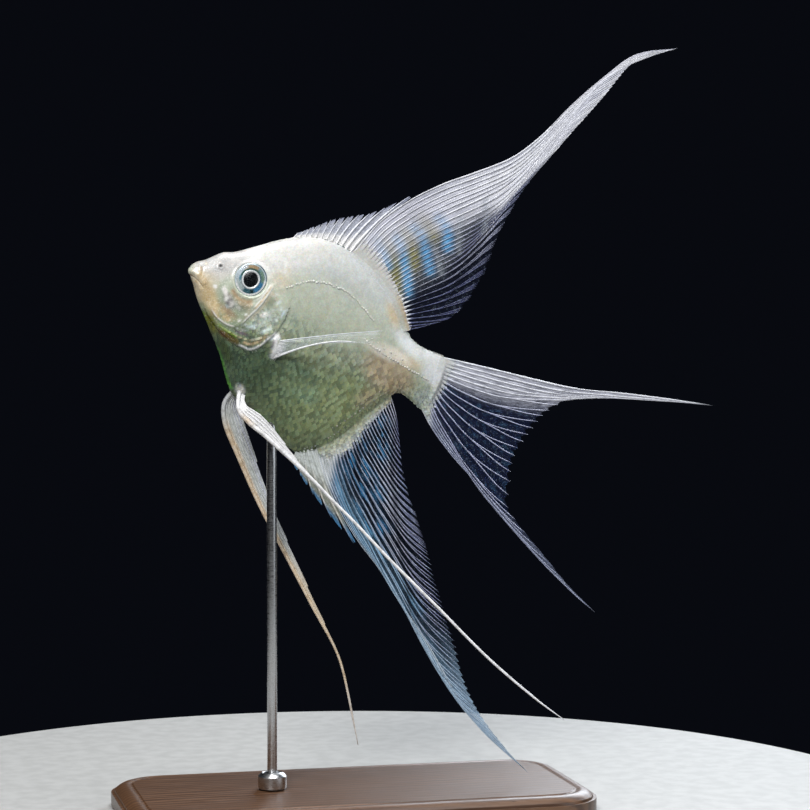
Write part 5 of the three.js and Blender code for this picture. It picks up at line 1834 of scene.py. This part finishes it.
def finish_stand(piece, material, node):
    select_only(piece)
    bpy.ops.object.transform_apply(location=True, rotation=True, scale=True)
    bpy.ops.object.shade_smooth_by_angle(angle=math.radians(32))
    finish_piece(piece, material, (node,), smooth_shading=False)


def stand_base(material):
    low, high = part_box("stand_base")
    size = high - low
    worked = sum(rise for _, rise in BASE_MOULDING)
    block = size.z - worked
    clear_selection()
    middle = (low + high) / 2
    bpy.ops.mesh.primitive_cube_add(size=1, location=(middle.x, middle.y, low.z + block / 2))
    piece = bpy.context.object
    piece.name = "moulded_base"
    piece.scale = (size.x, size.y, block)
    bpy.ops.object.transform_apply(location=False, rotation=False, scale=True)

    def upright(edge):
        foot, head = (piece.data.vertices[i].co for i in edge.vertices)
        return abs(foot.z - head.z) > block / 2

    pick(piece, "EDGE", upright)
    bpy.ops.mesh.bevel(offset=CORNER, segments=14, affect="EDGES", clamp_overlap=False)
    close_up()
    moulded(piece, BASE_MOULDING)
    ease_foot(piece, 0.0004)
    finish_stand(piece, material, "stand_base")


def turned_piece(name, node, material, bands, rim):
    """A round piece of the stand: a bar of the node's size, worked at its top and eased at its foot."""
    low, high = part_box(node)
    middle = (low + high) / 2
    worked = sum(rise for _, rise in bands)
    depth = high.z - low.z - worked
    clear_selection()
    bpy.ops.mesh.primitive_cylinder_add(
        vertices=64, radius=(high.x - low.x) / 2, depth=depth,
        location=(middle.x, middle.y, low.z + depth / 2),
    )
    piece = bpy.context.object
    piece.name = name
    moulded(piece, bands)
    ease_foot(piece, rim)
    finish_stand(piece, material, node)


def walnut_finish():
    f = Finish("waxed walnut")
    place = f.place()
    wander = f.noise(f.stretched(place, 20.0, 60.0, 60.0), 1.0, 3.0)
    rings = f.bands(
        f.stretched(place, 14.0, 130.0, 130.0), Scale=1.1, Distortion=7.0, Detail=3.0, Detail_Scale=0.8,
        Phase_Offset=f.sum("MULTIPLY", wander, 9.0),
    )
    fibres = f.noise(f.stretched(place, 120.0, 3200.0, 3200.0), 1.0, 4.0)
    pores = f.noise(f.stretched(place, 350.0, 5200.0, 5200.0), 1.0, 2.0)
    wood = f.mix(f.span(rings, 0.1, 0.9), (0.075, 0.034, 0.016, 1), (0.165, 0.083, 0.040, 1))
    deep = f.mix(f.span(wander, 0.35, 0.7, 0.0, 0.6), wood, (0.10, 0.05, 0.026, 1))
    streaked = f.mix(f.span(fibres, 0.3, 0.7, 0.45, 0.0), deep, (0.45, 0.38, 0.34, 1), "MULTIPLY")
    pored = f.mix(f.span(pores, 0.62, 0.74), streaked, (0.25, 0.2, 0.18, 1), "MULTIPLY")
    bumps = f.bump(fibres, 0.12, 0.00006, f.bump(pores, 0.15, 0.0001))
    return f.surface(Base_Color=pored, Roughness=f.span(fibres, 0.3, 0.7, 0.34, 0.48), Normal=bumps,
                     Coat_Weight=0.25, Coat_Roughness=0.25)


def steel_finish():
    f = Finish("brushed steel")
    place = f.place()
    turning = f.noise(f.stretched(place, 900.0, 900.0, 9000.0), 1.0, 3.0)
    cloud = f.noise(place, 320.0, 3.0)
    tone = f.mix(f.span(turning, 0.3, 0.7), (0.48, 0.49, 0.51, 1), (0.58, 0.59, 0.60, 1))
    worn = f.mix(f.span(cloud, 0.4, 0.7, 0.0, 0.35), tone, (0.5, 0.49, 0.47, 1))
    return f.surface(Base_Color=worn, Metallic=1.0, Roughness=f.span(turning, 0.3, 0.7, 0.24, 0.4),
                     Normal=f.bump(turning, 0.12, 0.00003))


def stand():
    stand_base(walnut_finish())
    steel = steel_finish()
    turned_piece("steel_rod", "stand_rod", steel, [(0.0002, 0.0002)], 0.0002)
    turned_piece("steel_collar", "stand_collar", steel, COLLAR_MOULDING, 0.0003)


# ---- camera, floor and light ------------------------------------------------------------------

LOOK_AT = Vector((0.012, 0.0, 0.0895))
CAMERA_TURN, CAMERA_RISE, CAMERA_DISTANCE = math.radians(-14), math.radians(2), 0.52


def camera():
    away = Vector((
        math.sin(CAMERA_TURN) * math.cos(CAMERA_RISE),
        -math.cos(CAMERA_TURN) * math.cos(CAMERA_RISE),
        math.sin(CAMERA_RISE),
    ))
    bpy.ops.object.camera_add(location=LOOK_AT + away * CAMERA_DISTANCE)
    lens = bpy.context.object
    lens.rotation_euler = (-away).to_track_quat("-Z", "Y").to_euler()
    lens.data.sensor_width = 36
    lens.data.lens = 104
    lens.data.clip_start = 0.01
    bpy.context.scene.camera = lens


def floor():
    clear_selection()
    bpy.ops.mesh.primitive_circle_add(vertices=128, radius=0.13, fill_type="NGON")
    disc = bpy.context.object
    disc.name = "floor"
    f = Finish("pale floor")
    place = f.place()
    speck = f.noise(place, 240.0, 4.0)
    tone = f.mix(f.span(speck, 0.3, 0.7), (0.40, 0.40, 0.39, 1), (0.46, 0.46, 0.45, 1))
    disc.data.materials.append(f.surface(Base_Color=tone, Roughness=0.6))


def soft_light(name, place, size, power, colour=(1, 1, 1), aim=LOOK_AT):
    bpy.ops.object.light_add(type="AREA", location=place)
    lamp = bpy.context.object
    lamp.name = name
    lamp.data.shape = "DISK"
    lamp.data.size = size
    lamp.data.energy = power
    lamp.data.color = colour
    lamp.rotation_euler = (Vector(place) - aim).to_track_quat("Z", "Y").to_euler()
    lamp.visible_camera = False


def lights():
    soft_light("key_light", (-0.26, -0.46, 0.56), 0.22, 4.6)
    soft_light("top_light", (0.02, -0.10, 0.62), 0.30, 2.6)
    soft_light("fill_light", (0.50, -0.45, 0.15), 0.45, 0.9, (0.9, 0.95, 1.0))
    soft_light("back_light", (0.35, 0.50, 0.35), 0.40, 3.0, (0.85, 0.92, 1.0))
    world = bpy.data.worlds.new("dark room")
    world.use_nodes = True
    world.node_tree.nodes["Background"].inputs["Color"].default_value = (0.0025, 0.003, 0.005, 1)
    bpy.context.scene.world = world
    bpy.context.scene.view_settings.view_transform = "Standard"


# ---- assembly ---------------------------------------------------------------------------------

camera()
floor()
lights()
skin()
scale_material = scale_finish()
for side, word in SIDES:
    flank_scales(side, f"scales_{word}", scale_material)
fin_material = fin_finish()
fins = [
    (dorsal_fin(fin_material), 0.55), (anal_fin(fin_material), 0.62), (tail_fin(fin_material), 0.55),
]
for side, word in SIDES:
    small_scales(side, f"small_scales_{word}", scale_material, fins)
pelvic_fin("pelvic_fin_left", PELVIC_LEFT, left_pelvic_paint, fin_material, (
    "pelvic_left", "pelvic_left_thread", "pelvic_left_thread_mid", "pelvic_left_thread_tip",
))
pelvic_fin("pelvic_fin_right", PELVIC_RIGHT, right_pelvic_paint, fin_material, (
    "pelvic_right", "pelvic_right_blade_tip", "pelvic_right_thread",
))
for side, word in SIDES:
    pectoral_fin(side, f"pectoral_fin_{word}", fin_material, f"pectoral_{word}")
eye_material, cornea_material = eye_finish(), cornea_finish()
for side, word in SIDES:
    eye(side, f"{word}_eye", eye_material, f"eye_{word}")
    cornea(side, f"{word}_eye_cornea", cornea_material)

stand()
